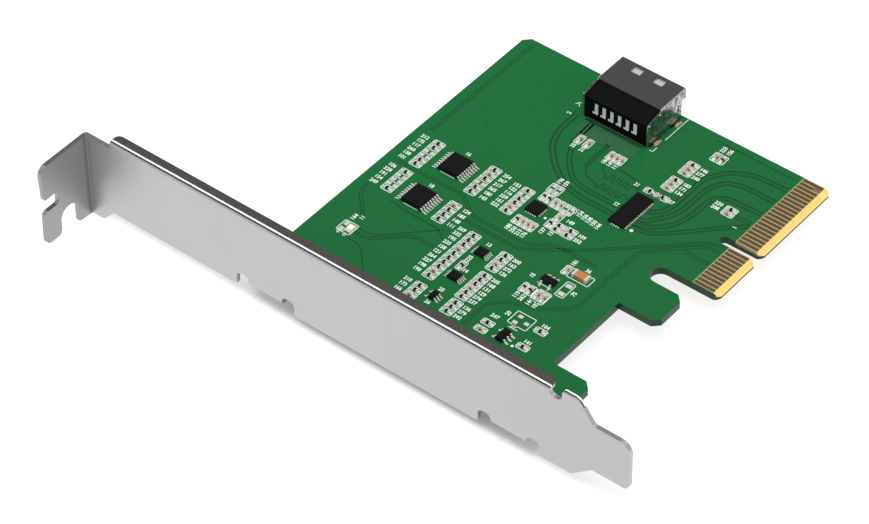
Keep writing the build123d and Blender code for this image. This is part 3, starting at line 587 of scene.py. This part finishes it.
def plated_steel():
    """Satin plating, very fine grain: painted shade past the outer face, in the fold and atop the long
    flange.
    """
    made, shader = material("plated_steel")
    x, y, z = shader.place()
    grain = shader.noise(PLATING_GRAIN, 3.0)
    cloud = shader.noise(PLATING_CLOUD, 2.0)
    face = shader.mix(cloud, tuple(PLATING_DARK * c for c in STEEL), STEEL)
    # Painted shade past the outer face, on the screw tab
    outside = 1.0 - x.clipped(*OUTER_SKIN)
    face = shader.mix(outside * OUTER_PAINTED_SHADE, face, STEEL_PAINTED_SHADE)
    # Painted shade in the inner fold
    fold = x.between(FOLD_ALONG, FOLD_BLUR) * y.between(FOLD_ACROSS, FOLD_BLUR)
    face = shader.mix(fold * FOLD_PAINTED_SHADE, face, STEEL_PAINTED_SHADE)
    bend = z.clipped(FLANGE_TOP - FLANGE_SKIN[0], FLANGE_TOP - FLANGE_SKIN[1])
    bend *= 1.0 - y.clipped(*FLANGE_END)
    # Along the flange's bend: painted shade band, painted highlight line, painted shade on the top
    bend_shade = bend * x.clipped(*BEND_PAINTED_SHADE)
    line = bend * x.clipped(*BEND_HIGHLIGHT)
    top = bend * x.clipped(*BEND_TOP)
    lined = shader.mix(line, shader.mix(bend_shade, face, STEEL_PAINTED_SHADE), BEND_PAINTED_HIGHLIGHT)
    dark = shader.mix(grain.clipped(0.35, 0.65), STEEL_PAINTED_SHADE, FLANGE_PAINTED_SHADE_PALE)
    shader.surface(
        Base_Color=shader.mix(top, lined, dark),
        Metallic=1.0 - line,
        Roughness=0.36 + grain * 0.12,
        Normal=shader.bump(grain, 0.004),
    )
    return made


def finishes():
    """Material of every record slot."""
    return {
        "solder_mask": solder_mask(),
        "plated_steel": plated_steel(),
        "screw_steel": speckled("screw_steel", STEEL, 0.4, 0.1, Metallic=1.0, Roughness=0.3),
        "gold": gold_plate(),
        "shell_steel": shell_sheet(),
        "black_moulding": matt("black_moulding", MOULDING, 0.15, 0.2, 0.01, Roughness=0.42),
        "tinned_metal": speckled("tinned_metal", TIN, 0.2, 0.2, 0.01, Metallic=0.3, Roughness=0.3),
        "chip_moulding": matt("chip_moulding", CHIP_BLACK, 0.09, 0.3, 0.008, Roughness=0.5),
        "resistor_coat": matt("resistor_coat", RESISTOR_BLACK, 0.1, 0.3, Roughness=0.3),
        "tan_ceramic": speckled("tan_ceramic", CAPACITOR_TAN, 0.1, 0.3, Roughness=0.45),
        "lamp_white": speckled("lamp_white", LAMP_WHITE, 0.3, 0.1, Roughness=0.3),
    }


def dress_nodes(materials):
    """Every CAD node takes the finish of its slot in the record."""
    for piece in frame["record"]["subparts"]:
        dress_node(piece["node"], materials[piece["material_slot"]])


def dress_node(name, finish):
    """One CAD node takes a finish."""
    slots = frame["nodes"][name].data.materials
    slots.clear()
    slots.append(finish)


def box_of(points):
    """Low and high corners of a set of points."""
    low = Vector([min(point[k] for point in points) for k in range(3)])
    high = Vector([max(point[k] for point in points) for k in range(3)])
    return low, high


def loose_parts(node):
    """Low and high corners, in the card's millimetres, of each separate solid of a CAD node."""
    mesh = frame["nodes"][node].data
    numbers = {}
    welded = []
    for vertex in mesh.vertices:
        place = tuple(round(c / MM, 3) for c in vertex.co)
        welded.append(numbers.setdefault(place, len(numbers)))
    leader = list(range(len(numbers)))

    def head(i):
        """Corner that stands for all the corners joined to this one."""
        while leader[i] != i:
            leader[i] = leader[leader[i]]
            i = leader[i]
        return i

    for polygon in mesh.polygons:
        first = head(welded[polygon.vertices[0]])
        for corner in polygon.vertices:
            leader[head(welded[corner])] = first
    groups = {}
    for vertex, number in zip(mesh.vertices, welded):
        groups.setdefault(head(number), []).append(card_place(vertex.co))
    return [box_of(points) for points in groups.values()]


def middle_of(box):
    """Middle of a pair of corners."""
    return (box[0] + box[1]) / 2


def nearest(point, boxes):
    """Middle of the box nearest to a point."""
    return min((middle_of(box) for box in boxes), key=lambda middle: (middle - point).length)


def keep_piece(name, mesh, slot):
    """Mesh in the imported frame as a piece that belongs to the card."""
    piece = bpy.data.objects.new(name, mesh)
    bpy.context.scene.collection.objects.link(piece)
    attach(piece, "root")


def mesh_of(name, points, faces, material):
    """Mesh from points in the card's millimetres."""
    mesh = bpy.data.meshes.new(name)
    mesh.from_pydata([at(*point) for point in points], [], faces)
    mesh.materials.append(material)
    mesh.update()
    return mesh


class Layer:
    """Flat shapes of one material on the component face."""

    def __init__(self, name, material, slot, height, slant=0.0):
        self.name = name
        self.material = material
        self.slot = slot
        self.height = height
        self.slant = slant
        self.points = []
        self.faces = []
        self.drawn = []

    def plate(self, x, y, length, width, turn=0.0, base=0.0):
        """Low plate, long in the turned direction."""
        first = len(self.points)
        c, s = math.cos(turn), math.sin(turn)
        for inset, z in ((0.0, base), (self.slant, base + self.height)):
            for u, v in ((-1, -1), (1, -1), (1, 1), (-1, 1)):
                a = u * (length / 2 - inset)
                b = v * (width / 2 - inset)
                self.points.append((x + a * c - b * s, y + a * s + b * c, z))
        self.faces.append(tuple(first + 3 - i for i in range(4)))
        self.faces.append(tuple(first + 4 + i for i in range(4)))
        for i in range(4):
            j = (i + 1) % 4
            self.faces.append((first + i, first + j, first + 4 + j, first + 4 + i))

    def line(self, x0, y0, x1, y1):
        """Printed straight line with square ends, drawn once where two boxes share it."""
        ends = Vector((x0, y0, x1, y1))
        if any((ends - other).length < SAME_LINE for other in self.drawn):
            return
        self.drawn.append(ends)
        length = math.hypot(x1 - x0, y1 - y0)
        turn = math.atan2(y1 - y0, x1 - x0)
        self.plate((x0 + x1) / 2, (y0 + y1) / 2, length + LINE_WIDTH, LINE_WIDTH, turn)

    def box(self, x0, x1, y0, y1):
        """Printed outline of a rectangle."""
        self.line(x0, y0, x1, y0)
        self.line(x0, y1, x1, y1)
        self.line(x0, y0, x0, y1)
        self.line(x1, y0, x1, y1)

    def dot(self, x, y, radius):
        """Round spot."""
        first = len(self.points)
        upper = first + DOT_SIDES
        for z in (0.0, self.height):
            for i in range(DOT_SIDES):
                a = 2 * math.pi * i / DOT_SIDES
                self.points.append((x + radius * math.cos(a), y + radius * math.sin(a), z))
        self.faces.append(tuple(upper - 1 - i for i in range(DOT_SIDES)))
        self.faces.append(tuple(upper + i for i in range(DOT_SIDES)))
        for i in range(DOT_SIDES):
            j = (i + 1) % DOT_SIDES
            self.faces.append((first + i, first + j, upper + j, upper + i))

    def ribbon(self, path, width):
        """Low band along a path: four points at each step, right low and high, then left low and high."""
        first = len(self.points)
        for i, point in enumerate(path):
            along = heading(path, i)
            side = Vector((-along.y, along.x)) * (width / 2)
            for sign in (-1, 1):
                for z in (0.0, self.height):
                    self.points.append((point[0] + sign * side.x, point[1] + sign * side.y, z))
        for i in range(len(path) - 1):
            a = first + 4 * i
            b = a + 4
            self.faces.append((a + 1, b + 1, b + 3, a + 3))
            self.faces.append((a, b, b + 1, a + 1))
            self.faces.append((b + 2, a + 2, a + 3, b + 3))
            self.faces.append((a + 2, b + 2, b, a))
        last = len(self.points) - 4
        self.faces.append((first, first + 1, first + 3, first + 2))
        self.faces.append((last, last + 2, last + 3, last + 1))

    def number(self, text, x, y, turn):
        """Plain digits, centred on a point."""
        curve = bpy.data.curves.new("digits", "FONT")
        curve.body = text
        curve.size = DIGIT_SIZE
        curve.align_x = "CENTER"
        curve.align_y = "CENTER"
        curve.resolution_u = DIGIT_STEPS
        curve.offset = DIGIT_BOLDNESS * DIGIT_SIZE
        curve.extrude = self.height / 2
        source = bpy.data.objects.new("digits", curve)
        shape = bpy.data.meshes.new_from_object(source)
        first = len(self.points)
        c, s = math.cos(turn), math.sin(turn)
        for vertex in shape.vertices:
            a, b = vertex.co.x * DIGIT_NARROWING, vertex.co.y
            self.points.append((x + a * c - b * s, y + a * s + b * c, vertex.co.z + self.height / 2))
        self.faces += [tuple(first + i for i in polygon.vertices) for polygon in shape.polygons]
        bpy.data.objects.remove(source)
        bpy.data.curves.remove(curve)
        bpy.data.meshes.remove(shape)

    def finish(self):
        """The layer as one piece."""
        keep_piece(self.name, mesh_of(self.name, self.points, self.faces, self.material), self.slot)


def rounded(points, radius):
    """Path through points with each corner rounded."""
    path = [points[0]]
    for before, corner, after in zip(points, points[1:], points[2:]):
        corner = Vector(corner)
        back = Vector(before) - corner
        ahead = Vector(after) - corner
        reach = min(radius, back.length / 2, ahead.length / 2)
        start = corner + back.normalized() * reach
        end = corner + ahead.normalized() * reach
        for i in range(CORNER_STEPS + 1):
            t = i / CORNER_STEPS
            path.append(tuple(start * (1 - t) ** 2 + corner * 2 * t * (1 - t) + end * t**2))
    path.append(points[-1])
    return path


def heading(path, i):
    """Direction of a path at one of its points, from the points before and after it."""
    before = Vector(path[max(i - 1, 0)])
    after = Vector(path[min(i + 1, len(path) - 1)])
    return (after - before).normalized()


def beside(path, distance):
    """Path at a distance to the left of another one."""
    moved = []
    for i, point in enumerate(path):
        along = heading(path, i)
        moved.append((point[0] - along.y * distance, point[1] + along.x * distance))
    return moved


def passive_ends():
    """Each plated end of the chip resistors and capacitors, with the middle of its body."""
    for kind in ("resistor", "capacitor"):
        bodies = loose_parts(kind + "_bodies")
        for end in loose_parts(kind + "_ends"):
            yield end, nearest(middle_of(end), bodies)


def passive_cells():
    """Middle of each chip resistor and capacitor, and whether it stands up the board."""
    cells = {}
    for end, body in passive_ends():
        size = end[1] - end[0]
        cells[(round(body.x, 2), round(body.y, 2))] = size.y < size.x
    return [(x, y, upright) for (x, y), upright in cells.items()]


def all_cells():
    """Populated and empty places for small parts."""
    return passive_cells() + EMPTY_CELLS


def lead_pad(layer, lead, body, cover, out):
    """Pad under the foot of one lead: cover is its length under the foot, out its length beyond it."""
    size = lead[1] - lead[0]
    middle = middle_of(lead)
    length = cover + out
    if size.y > size.x:
        sign = math.copysign(1, middle.y - body.y)
        tip = middle.y + sign * size.y / 2
        layer.plate(middle.x, tip + sign * (length / 2 - cover), size.x - LEAD_MARGIN, length)
    else:
        sign = math.copysign(1, middle.x - body.x)
        tip = middle.x + sign * size.x / 2
        layer.plate(tip + sign * (length / 2 - cover), middle.y, length, size.y - LEAD_MARGIN)


def solder_pads(material):
    """Pads with their solder: at small parts, under leads, and in empty places."""
    layer = Layer("solder_pads", material, "tinned_metal", PAD_HEIGHT, PAD_SLANT)
    for x, y, upright in all_cells():
        for side in (-1, 1):
            if upright:
                layer.plate(x, y + side * PAD_MIDDLE, PAD_WIDTH, PAD_LENGTH)
            else:
                layer.plate(x + side * PAD_MIDDLE, y, PAD_LENGTH, PAD_WIDTH)
    for leads, bodies, cover, out in LEADED:
        places = loose_parts(bodies)
        for lead in loose_parts(leads):
            lead_pad(layer, lead, nearest(middle_of(lead), places), cover, out)
    for x, y in EMPTY_PADS:
        layer.plate(x, y, *EMPTY_PAD_SIZE)
    for x, y in WIDE_EMPTY_PADS:
        layer.plate(x, y, *WIDE_EMPTY_PAD_SIZE)
    layer.finish()


def shell_feet(material):
    """Soldered feet of the receptacle's shell, beside its near side."""
    layer = Layer("shell_feet", material, "gold", SHELL_FOOT_HEIGHT, SHELL_FOOT_SLANT)
    along, across = FOOT_SOLDER_OFFSET
    for x in SHELL_FEET:
        layer.plate(x, SHELL_FOOT_Y, *SHELL_FOOT_SIZE)
        layer.plate(x + along, SHELL_FOOT_Y + across, *FOOT_SOLDER_SIZE, base=FOOT_SOLDER_BASE)
    layer.finish()


def local_mesh(name, points, faces):
    """Mesh in millimetres round its own origin."""
    mesh = bpy.data.meshes.new(name)
    mesh.from_pydata([Vector(point) * MM for point in points], [], faces)
    return mesh


def ring_part(name, rings, sides):
    """Closed round part along +Z: radius and height of each ring, from its underside's rim to its middle."""
    points = []
    for radius, z in rings:
        for i in range(sides):
            angle = 2 * math.pi * i / sides
            points.append((radius * math.cos(angle), radius * math.sin(angle), z))
    faces = []
    for ring in range(len(rings) - 1):
        low = ring * sides
        high = low + sides
        for i in range(sides):
            j = (i + 1) % sides
            faces.append((low + i, low + j, high + j, high + i))
    last = (len(rings) - 1) * sides
    faces.append(tuple(last + i for i in range(sides)))
    faces.append(tuple(sides - 1 - i for i in range(sides)))
    return local_mesh(name, points, faces)


def pip_part():
    """Small dome that stands up along +Y."""
    mesh = ring_part("pip", PIP_RINGS, PIP_SIDES)
    mesh.transform(Matrix.Rotation(-math.pi / 2, 4, "X"))
    return mesh


def shell_pips(material):
    """Bright pips at the rear corners of the receptacle's side plates."""
    points = []
    for x, z in PIP_PLACES:
        points.append((x, RECEPTACLE_SIDES[0], z, math.pi))
        points.append((x, RECEPTACLE_SIDES[1], z, 0.0))
    instanced("shell_pips", points, pip_part(), material, "shell_steel")


def slabs(name, boxes, material, slot):
    """Piece made of plain blocks: x0, x1, y0, y1, z0, z1 of each."""
    points = []
    faces = []
    for x0, x1, y0, y1, z0, z1 in boxes:
        first = len(points)
        points += [(x, y, z) for z in (z0, z1) for x, y in ((x0, y0), (x1, y0), (x1, y1), (x0, y1))]
        for corners in ((3, 2, 1, 0), (4, 5, 6, 7), (0, 1, 5, 4), (1, 2, 6, 5), (2, 3, 7, 6), (3, 0, 4, 7)):
            faces.append(tuple(first + i for i in corners))
    keep_piece(name, mesh_of(name, points, faces, material), slot)


def post_feet(material):
    """Flat foot of each post in the receptacle's rear."""
    boxes = []
    for post in loose_parts("receptacle_rear_posts"):
        y = middle_of(post).y
        z = post[0].z
        along = (REAR_FACE - POST_FOOT_THICKNESS, REAR_FACE)
        across = (y - POST_FOOT_DOWN, y + POST_FOOT_UP)
        boxes.append((*along, *across, z - POST_FOOT_BELOW, z + POST_FOOT_ABOVE))
    slabs("post_feet", boxes, material, "tinned_metal")


def latch_plates(material):
    """Bright plates that show in the two windows of the shell."""
    heights = (LATCH_TOP - LATCH_THICKNESS, LATCH_TOP)
    boxes = [(*WINDOW_ALONG, y - WINDOW_HALF, y + WINDOW_HALF, *heights) for y in WINDOWS_ACROSS]
    slabs("latch_plates", boxes, material, "shell_steel")


def tail_lands():
    """Pale lands under the mask where the receptacle's tails are soldered."""
    finish = speckled("covered_lands", LAND_GREEN, 0.5, 0.3, Roughness=0.25, Specular_IOR_Level=0.2)
    layer = Layer("tail_lands", finish, "solder_mask", TRACE_HEIGHT)
    for tail in loose_parts("receptacle_tails"):
        end = tail[0].x + LAND_COVER
        layer.plate(end - LAND_LENGTH / 2, middle_of(tail).y, LAND_LENGTH, LAND_WIDTH)
    layer.finish()


def cell_width(cell, cells):
    """Width of a part's printed box: the distance to its neighbour in the row, where it has one."""
    x, y, upright = cell
    width = CELL_WIDTH
    for other_x, other_y, other_upright in cells:
        along, across = (other_x - x, other_y - y) if upright else (other_y - y, other_x - x)
        in_row = other_upright == upright and abs(across) < ROW_SLIP
        if in_row and ROW_PITCH[0] < abs(along) < ROW_PITCH[1]:
            width = abs(along)
    return width


def legend(material):
    """White print: boxes round the parts, plain numbers, marks of the first pin and outlines."""
    layer = Layer("legend_print", material, "lamp_white", LEGEND_HEIGHT)
    cells = all_cells()
    long_half = CELL_LENGTH / 2
    for i, cell in enumerate(cells):
        x, y, upright = cell
        half = cell_width(cell, cells) / 2
        across, along = (half, long_half) if upright else (long_half, half)
        layer.box(x - across, x + across, y - along, y + along)
        for x0, x1, y0, y1, dx, dy in NUMBER_ZONES:
            if x0 < x < x1 and y0 < y < y1:
                digits = str(FIRST_NUMBER + i * NUMBER_STEP % NUMBER_SPAN)
                layer.number(digits, x + dx, y + dy, -math.pi / 2 if upright else 0.0)
    for box in PRINTED_BOXES:
        layer.box(*box)
    for line in PRINTED_LINES:
        layer.line(*line)
    for x, y, radius in PRINTED_DOTS:
        layer.dot(x, y, radius)
    for digits, x, y, turn in PRINTED_NUMBERS:
        layer.number(digits, x, y, math.radians(turn))
    layer.finish()


def meander(x, low, high, swing, pitch):
    """Path that swings to and fro across x while it climbs from low to high."""
    points = [(x, low)]
    y = low + pitch / 2
    side = 1
    while y < high - pitch / 2:
        points.append((x + side * swing, y))
        points.append((x + side * swing, y + pitch / 2))
        side = -side
        y += pitch / 2
    points.append((x, high))
    return points


def covered_traces(material):
    """Copper tracks that show through the mask."""
    layer = Layer("covered_traces", material, "solder_mask", TRACE_HEIGHT)
    for points, count, gap, width in TRACKS:
        path = rounded(points, TRACK_BEND)
        for i in range(count):
            layer.ribbon(beside(path, (i - (count - 1) / 2) * gap), width)
    for x, low, high, swing, pitch in MEANDERS:
        layer.ribbon(rounded(meander(x, low, high, swing, pitch), MEANDER_BEND), MEANDER_WIDTH)
    layer.finish()


def instanced(name, points, part, material, slot):
    """Copies of a small part on points (x, y, z, turn), made with Geometry Nodes, as one plain mesh."""
    cloud = bpy.data.meshes.new(name + "_points")
    cloud.from_pydata([at(*point[:3]) for point in points], [], [])
    turns = cloud.attributes.new("turn", "FLOAT", "POINT")
    for item, point in zip(turns.data, points):
        item.value = point[3]
    holder = bpy.data.objects.new(name + "_points", cloud)
    source = bpy.data.objects.new(name + "_part", part)
    bpy.context.scene.collection.objects.link(holder)
    bpy.context.scene.collection.objects.link(source)

    tree = bpy.data.node_groups.new(name + "_copies", "GeometryNodeTree")
    sockets = tree.interface
    sockets.new_socket("Points", in_out="INPUT", socket_type="NodeSocketGeometry")
    part_input = sockets.new_socket("Part", in_out="INPUT", socket_type="NodeSocketObject")
    finish_input = sockets.new_socket("Finish", in_out="INPUT", socket_type="NodeSocketMaterial")
    sockets.new_socket("Copies", in_out="OUTPUT", socket_type="NodeSocketGeometry")
    ends = tree.nodes.new("NodeGroupInput")
    out = tree.nodes.new("NodeGroupOutput")
    info = tree.nodes.new("GeometryNodeObjectInfo")
    turn = tree.nodes.new("GeometryNodeInputNamedAttribute")
    turn.data_type = "FLOAT"
    turn.inputs["Name"].default_value = "turn"
    spin = tree.nodes.new("ShaderNodeCombineXYZ")
    copy = tree.nodes.new("GeometryNodeInstanceOnPoints")
    real = tree.nodes.new("GeometryNodeRealizeInstances")
    paint = tree.nodes.new("GeometryNodeSetMaterial")
    links = (
        (ends.outputs["Part"], info.inputs["Object"]),
        (ends.outputs["Points"], copy.inputs["Points"]),
        (info.outputs["Geometry"], copy.inputs["Instance"]),
        (turn.outputs["Attribute"], spin.inputs["Z"]),
        (spin.outputs[0], copy.inputs["Rotation"]),
        (copy.outputs[0], real.inputs[0]),
        (real.outputs[0], paint.inputs["Geometry"]),
        (ends.outputs["Finish"], paint.inputs["Material"]),
        (paint.outputs[0], out.inputs["Copies"]),
    )
    for start, end in links:
        tree.links.new(start, end)
    modifier = holder.modifiers.new("copies", "NODES")
    modifier.node_group = tree
    modifier[part_input.identifier] = source
    modifier[finish_input.identifier] = material
    view = bpy.context.evaluated_depsgraph_get()
    mesh = bpy.data.meshes.new_from_object(holder.evaluated_get(view))
    mesh.name = name
    bpy.data.objects.remove(holder)
    bpy.data.objects.remove(source)
    keep_piece(name, mesh, slot)


def fillet_part():
    """Sloping solder between a part's end, at the origin, and its pad along +X."""
    count = len(FILLET_OUTLINE)
    points = [(x, side * (FILLET_HALF - FILLET_TAPER * x), z) for side in (-1, 1) for x, z in FILLET_OUTLINE]
    faces = [tuple(range(count)), tuple(range(2 * count - 1, count - 1, -1))]
    for i in range(count):
        j = (i + 1) % count
        faces.append((j, i, count + i, count + j))
    return local_mesh("fillet", points, faces)


def solder_fillets(material):
    """Solder against both ends of each small part."""
    points = []
    for end, body in passive_ends():
        size = end[1] - end[0]
        middle = middle_of(end)
        out = (middle - body).normalized()
        reach = min(size.x, size.y) / 2
        x = middle.x + out.x * reach
        y = middle.y + out.y * reach
        points.append((x, y, PAD_HEIGHT, math.atan2(out.y, out.x)))
    instanced("solder_fillets", points, fillet_part(), material, "tinned_metal")


def vias(material):
    """Shallow rings of the plated holes under the mask."""
    points = [(x, y, 0.0, 0.0) for x, y in VIAS]
    instanced("vias", points, ring_part("via", VIA_RINGS, VIA_SIDES), material, "solder_mask")


def set_camera():
    """Camera of the photo."""
    data = bpy.data.cameras.new("photo_camera")
    data.lens = CAMERA_LENS
    data.sensor_width = CAMERA_SENSOR
    data.shift_x, data.shift_y = CAMERA_SHIFT
    data.clip_start, data.clip_end = CAMERA_RANGE
    camera = bpy.data.objects.new("photo_camera", data)
    turn = Matrix.Rotation(math.radians(CAMERA_TURN), 4, "Z")
    tilt = Matrix.Rotation(math.radians(CAMERA_TILT), 4, "X")
    roll = Matrix.Rotation(math.radians(CAMERA_ROLL), 4, "Z")
    camera.matrix_world = Matrix.Translation(CAMERA_PLACE) @ turn @ tilt @ roll
    bpy.context.scene.collection.objects.link(camera)
    bpy.context.scene.camera = camera


def set_world():
    """White to the camera and soft light for the rest, with a darker zone in what metal reflects."""
    world = bpy.data.worlds.new("studio")
    bpy.context.scene.world = world
    shader = Shader(world)
    path = shader.node("ShaderNodeLightPath")
    direction = shader.node("ShaderNodeTexCoord")
    parts = shader.node("ShaderNodeSeparateXYZ")
    shader.tree.links.new(direction.outputs["Generated"], parts.inputs[0])
    x, y, z = (Value(shader, parts.outputs[i]) for i in range(3))
    towards = x * DARK_TOWARDS[0] + y * DARK_TOWARDS[1] + z * DARK_TOWARDS[2]
    zone = towards.clipped(*DARK_RIM_CORE)
    glossy = Value(shader, path.outputs["Is Glossy Ray"])
    light = shader.mix(zone * glossy, WORLD_LIGHT, WORLD_DARK)
    camera_ray = Value(shader, path.outputs["Is Camera Ray"])
    colour = shader.mix(camera_ray, light, WHITE)
    back = shader.node("ShaderNodeBackground", Color=colour, Strength=1.0)
    out = shader.node("ShaderNodeOutputWorld")
    shader.tree.links.new(back.outputs[0], out.inputs["Surface"])


def key_light():
    """Wide round light above the card that faces the middle of its underside."""
    data = bpy.data.lights.new("key", "AREA")
    data.shape = "DISK"
    data.size = KEY_WIDTH
    data.energy = KEY_POWER
    light = bpy.data.objects.new("key", data)
    light.location = KEY_PLACE
    light.rotation_euler = (-Vector(KEY_PLACE)).to_track_quat("-Z", "Y").to_euler()
    bpy.context.scene.collection.objects.link(light)


def pale_floor():
    """White to the camera and in reflections, apart from a light shadow near the card; clear from below."""
    made, shader = material("pale_floor")
    grain = shader.noise(FLOOR_GRAIN, 1.0)
    path = shader.node("ShaderNodeLightPath")
    shaded = shader.node("ShaderNodeBsdfDiffuse", Color=shader.mix(grain, *FLOOR_TONES))
    white = shader.node("ShaderNodeEmission", Color=WHITE, Strength=FLOOR_WHITE)
    seen = shader.node("ShaderNodeMixShader")
    direct = Value(shader, path.outputs["Is Camera Ray"]) + Value(shader, path.outputs["Is Glossy Ray"])
    x = shader.place()[0]
    front = (1.0 - x.clipped(*FRONT_REACH)) * (SHARE_IN_FRONT - SHARE_AT_BRACKET)
    beyond = x.clipped(*SHARE_REACH) * (SHARE_BEYOND - SHARE_AT_BRACKET)
    share = front + beyond + SHARE_AT_BRACKET
    shader.feed(seen.inputs[0], direct * share)
    shader.tree.links.new(shaded.outputs[0], seen.inputs[1])
    shader.tree.links.new(white.outputs[0], seen.inputs[2])
    clear = shader.node("ShaderNodeBsdfTransparent")
    sided = shader.node("ShaderNodeMixShader")
    geometry = shader.node("ShaderNodeNewGeometry")
    shader.feed(sided.inputs[0], Value(shader, geometry.outputs["Backfacing"]))
    shader.tree.links.new(seen.outputs[0], sided.inputs[1])
    shader.tree.links.new(clear.outputs[0], sided.inputs[2])
    out = shader.node("ShaderNodeOutputMaterial")
    shader.tree.links.new(sided.outputs[0], out.inputs["Surface"])
    return made


def floor():
    """Wide floor under the card."""
    mesh = bpy.data.meshes.new("floor")
    corners = [(x * FLOOR_HALF, y * FLOOR_HALF, 0.0) for x, y in ((-1, -1), (1, -1), (1, 1), (-1, 1))]
    mesh.from_pydata(corners, [], [(0, 1, 2, 3)])
    mesh.materials.append(pale_floor())
    plane = bpy.data.objects.new("floor", mesh)
    bpy.context.scene.collection.objects.link(plane)


dress_nodes(finishes())
dress_node("large_capacitor_body", speckled("orange_ceramic", CAPACITOR_ORANGE, 0.2, 0.15, Roughness=0.4))
# Near-black tails: painted shade and painted reflection of the black housing over them
dress_node("receptacle_tails", speckled("painted_shade_tails", TAIL_PAINTED_SHADE, 0.2, 0.2, Metallic=0.3, Roughness=0.4))
dress_node("receptacle_rear_posts", speckled("satin_posts", POST_GREY, 0.3, 0.2, Roughness=0.6))
solder = speckled("solder", SOLDER, 0.12, 0.2, 0.02, Metallic=0.25, Roughness=0.35)
covered_traces(speckled("covered_copper", TRACK_GREEN, 0.6, 0.15, Roughness=0.22))
vias(speckled("via_mask", VIA_BROWN, 0.1, 0.3, Roughness=0.3))
solder_pads(solder)
solder_fillets(solder)
shell_pips(solder)
post_feet(frame["nodes"]["receptacle_rear_posts"].data.materials[0])
latch_plates(speckled("bright_latch", LATCH_GREY, 0.25, 0.2, Roughness=0.5))
tail_lands()
shell_feet(speckled("soldered_foot", FOOT_BRONZE, 0.2, 0.3, 0.02, Metallic=0.5, Roughness=0.4))
legend(speckled("legend_ink", LEGEND_WHITE, 0.12, 0.2, Roughness=0.55))
set_camera()
set_world()
key_light()
floor()
bpy.context.scene.view_settings.view_transform = "Standard"
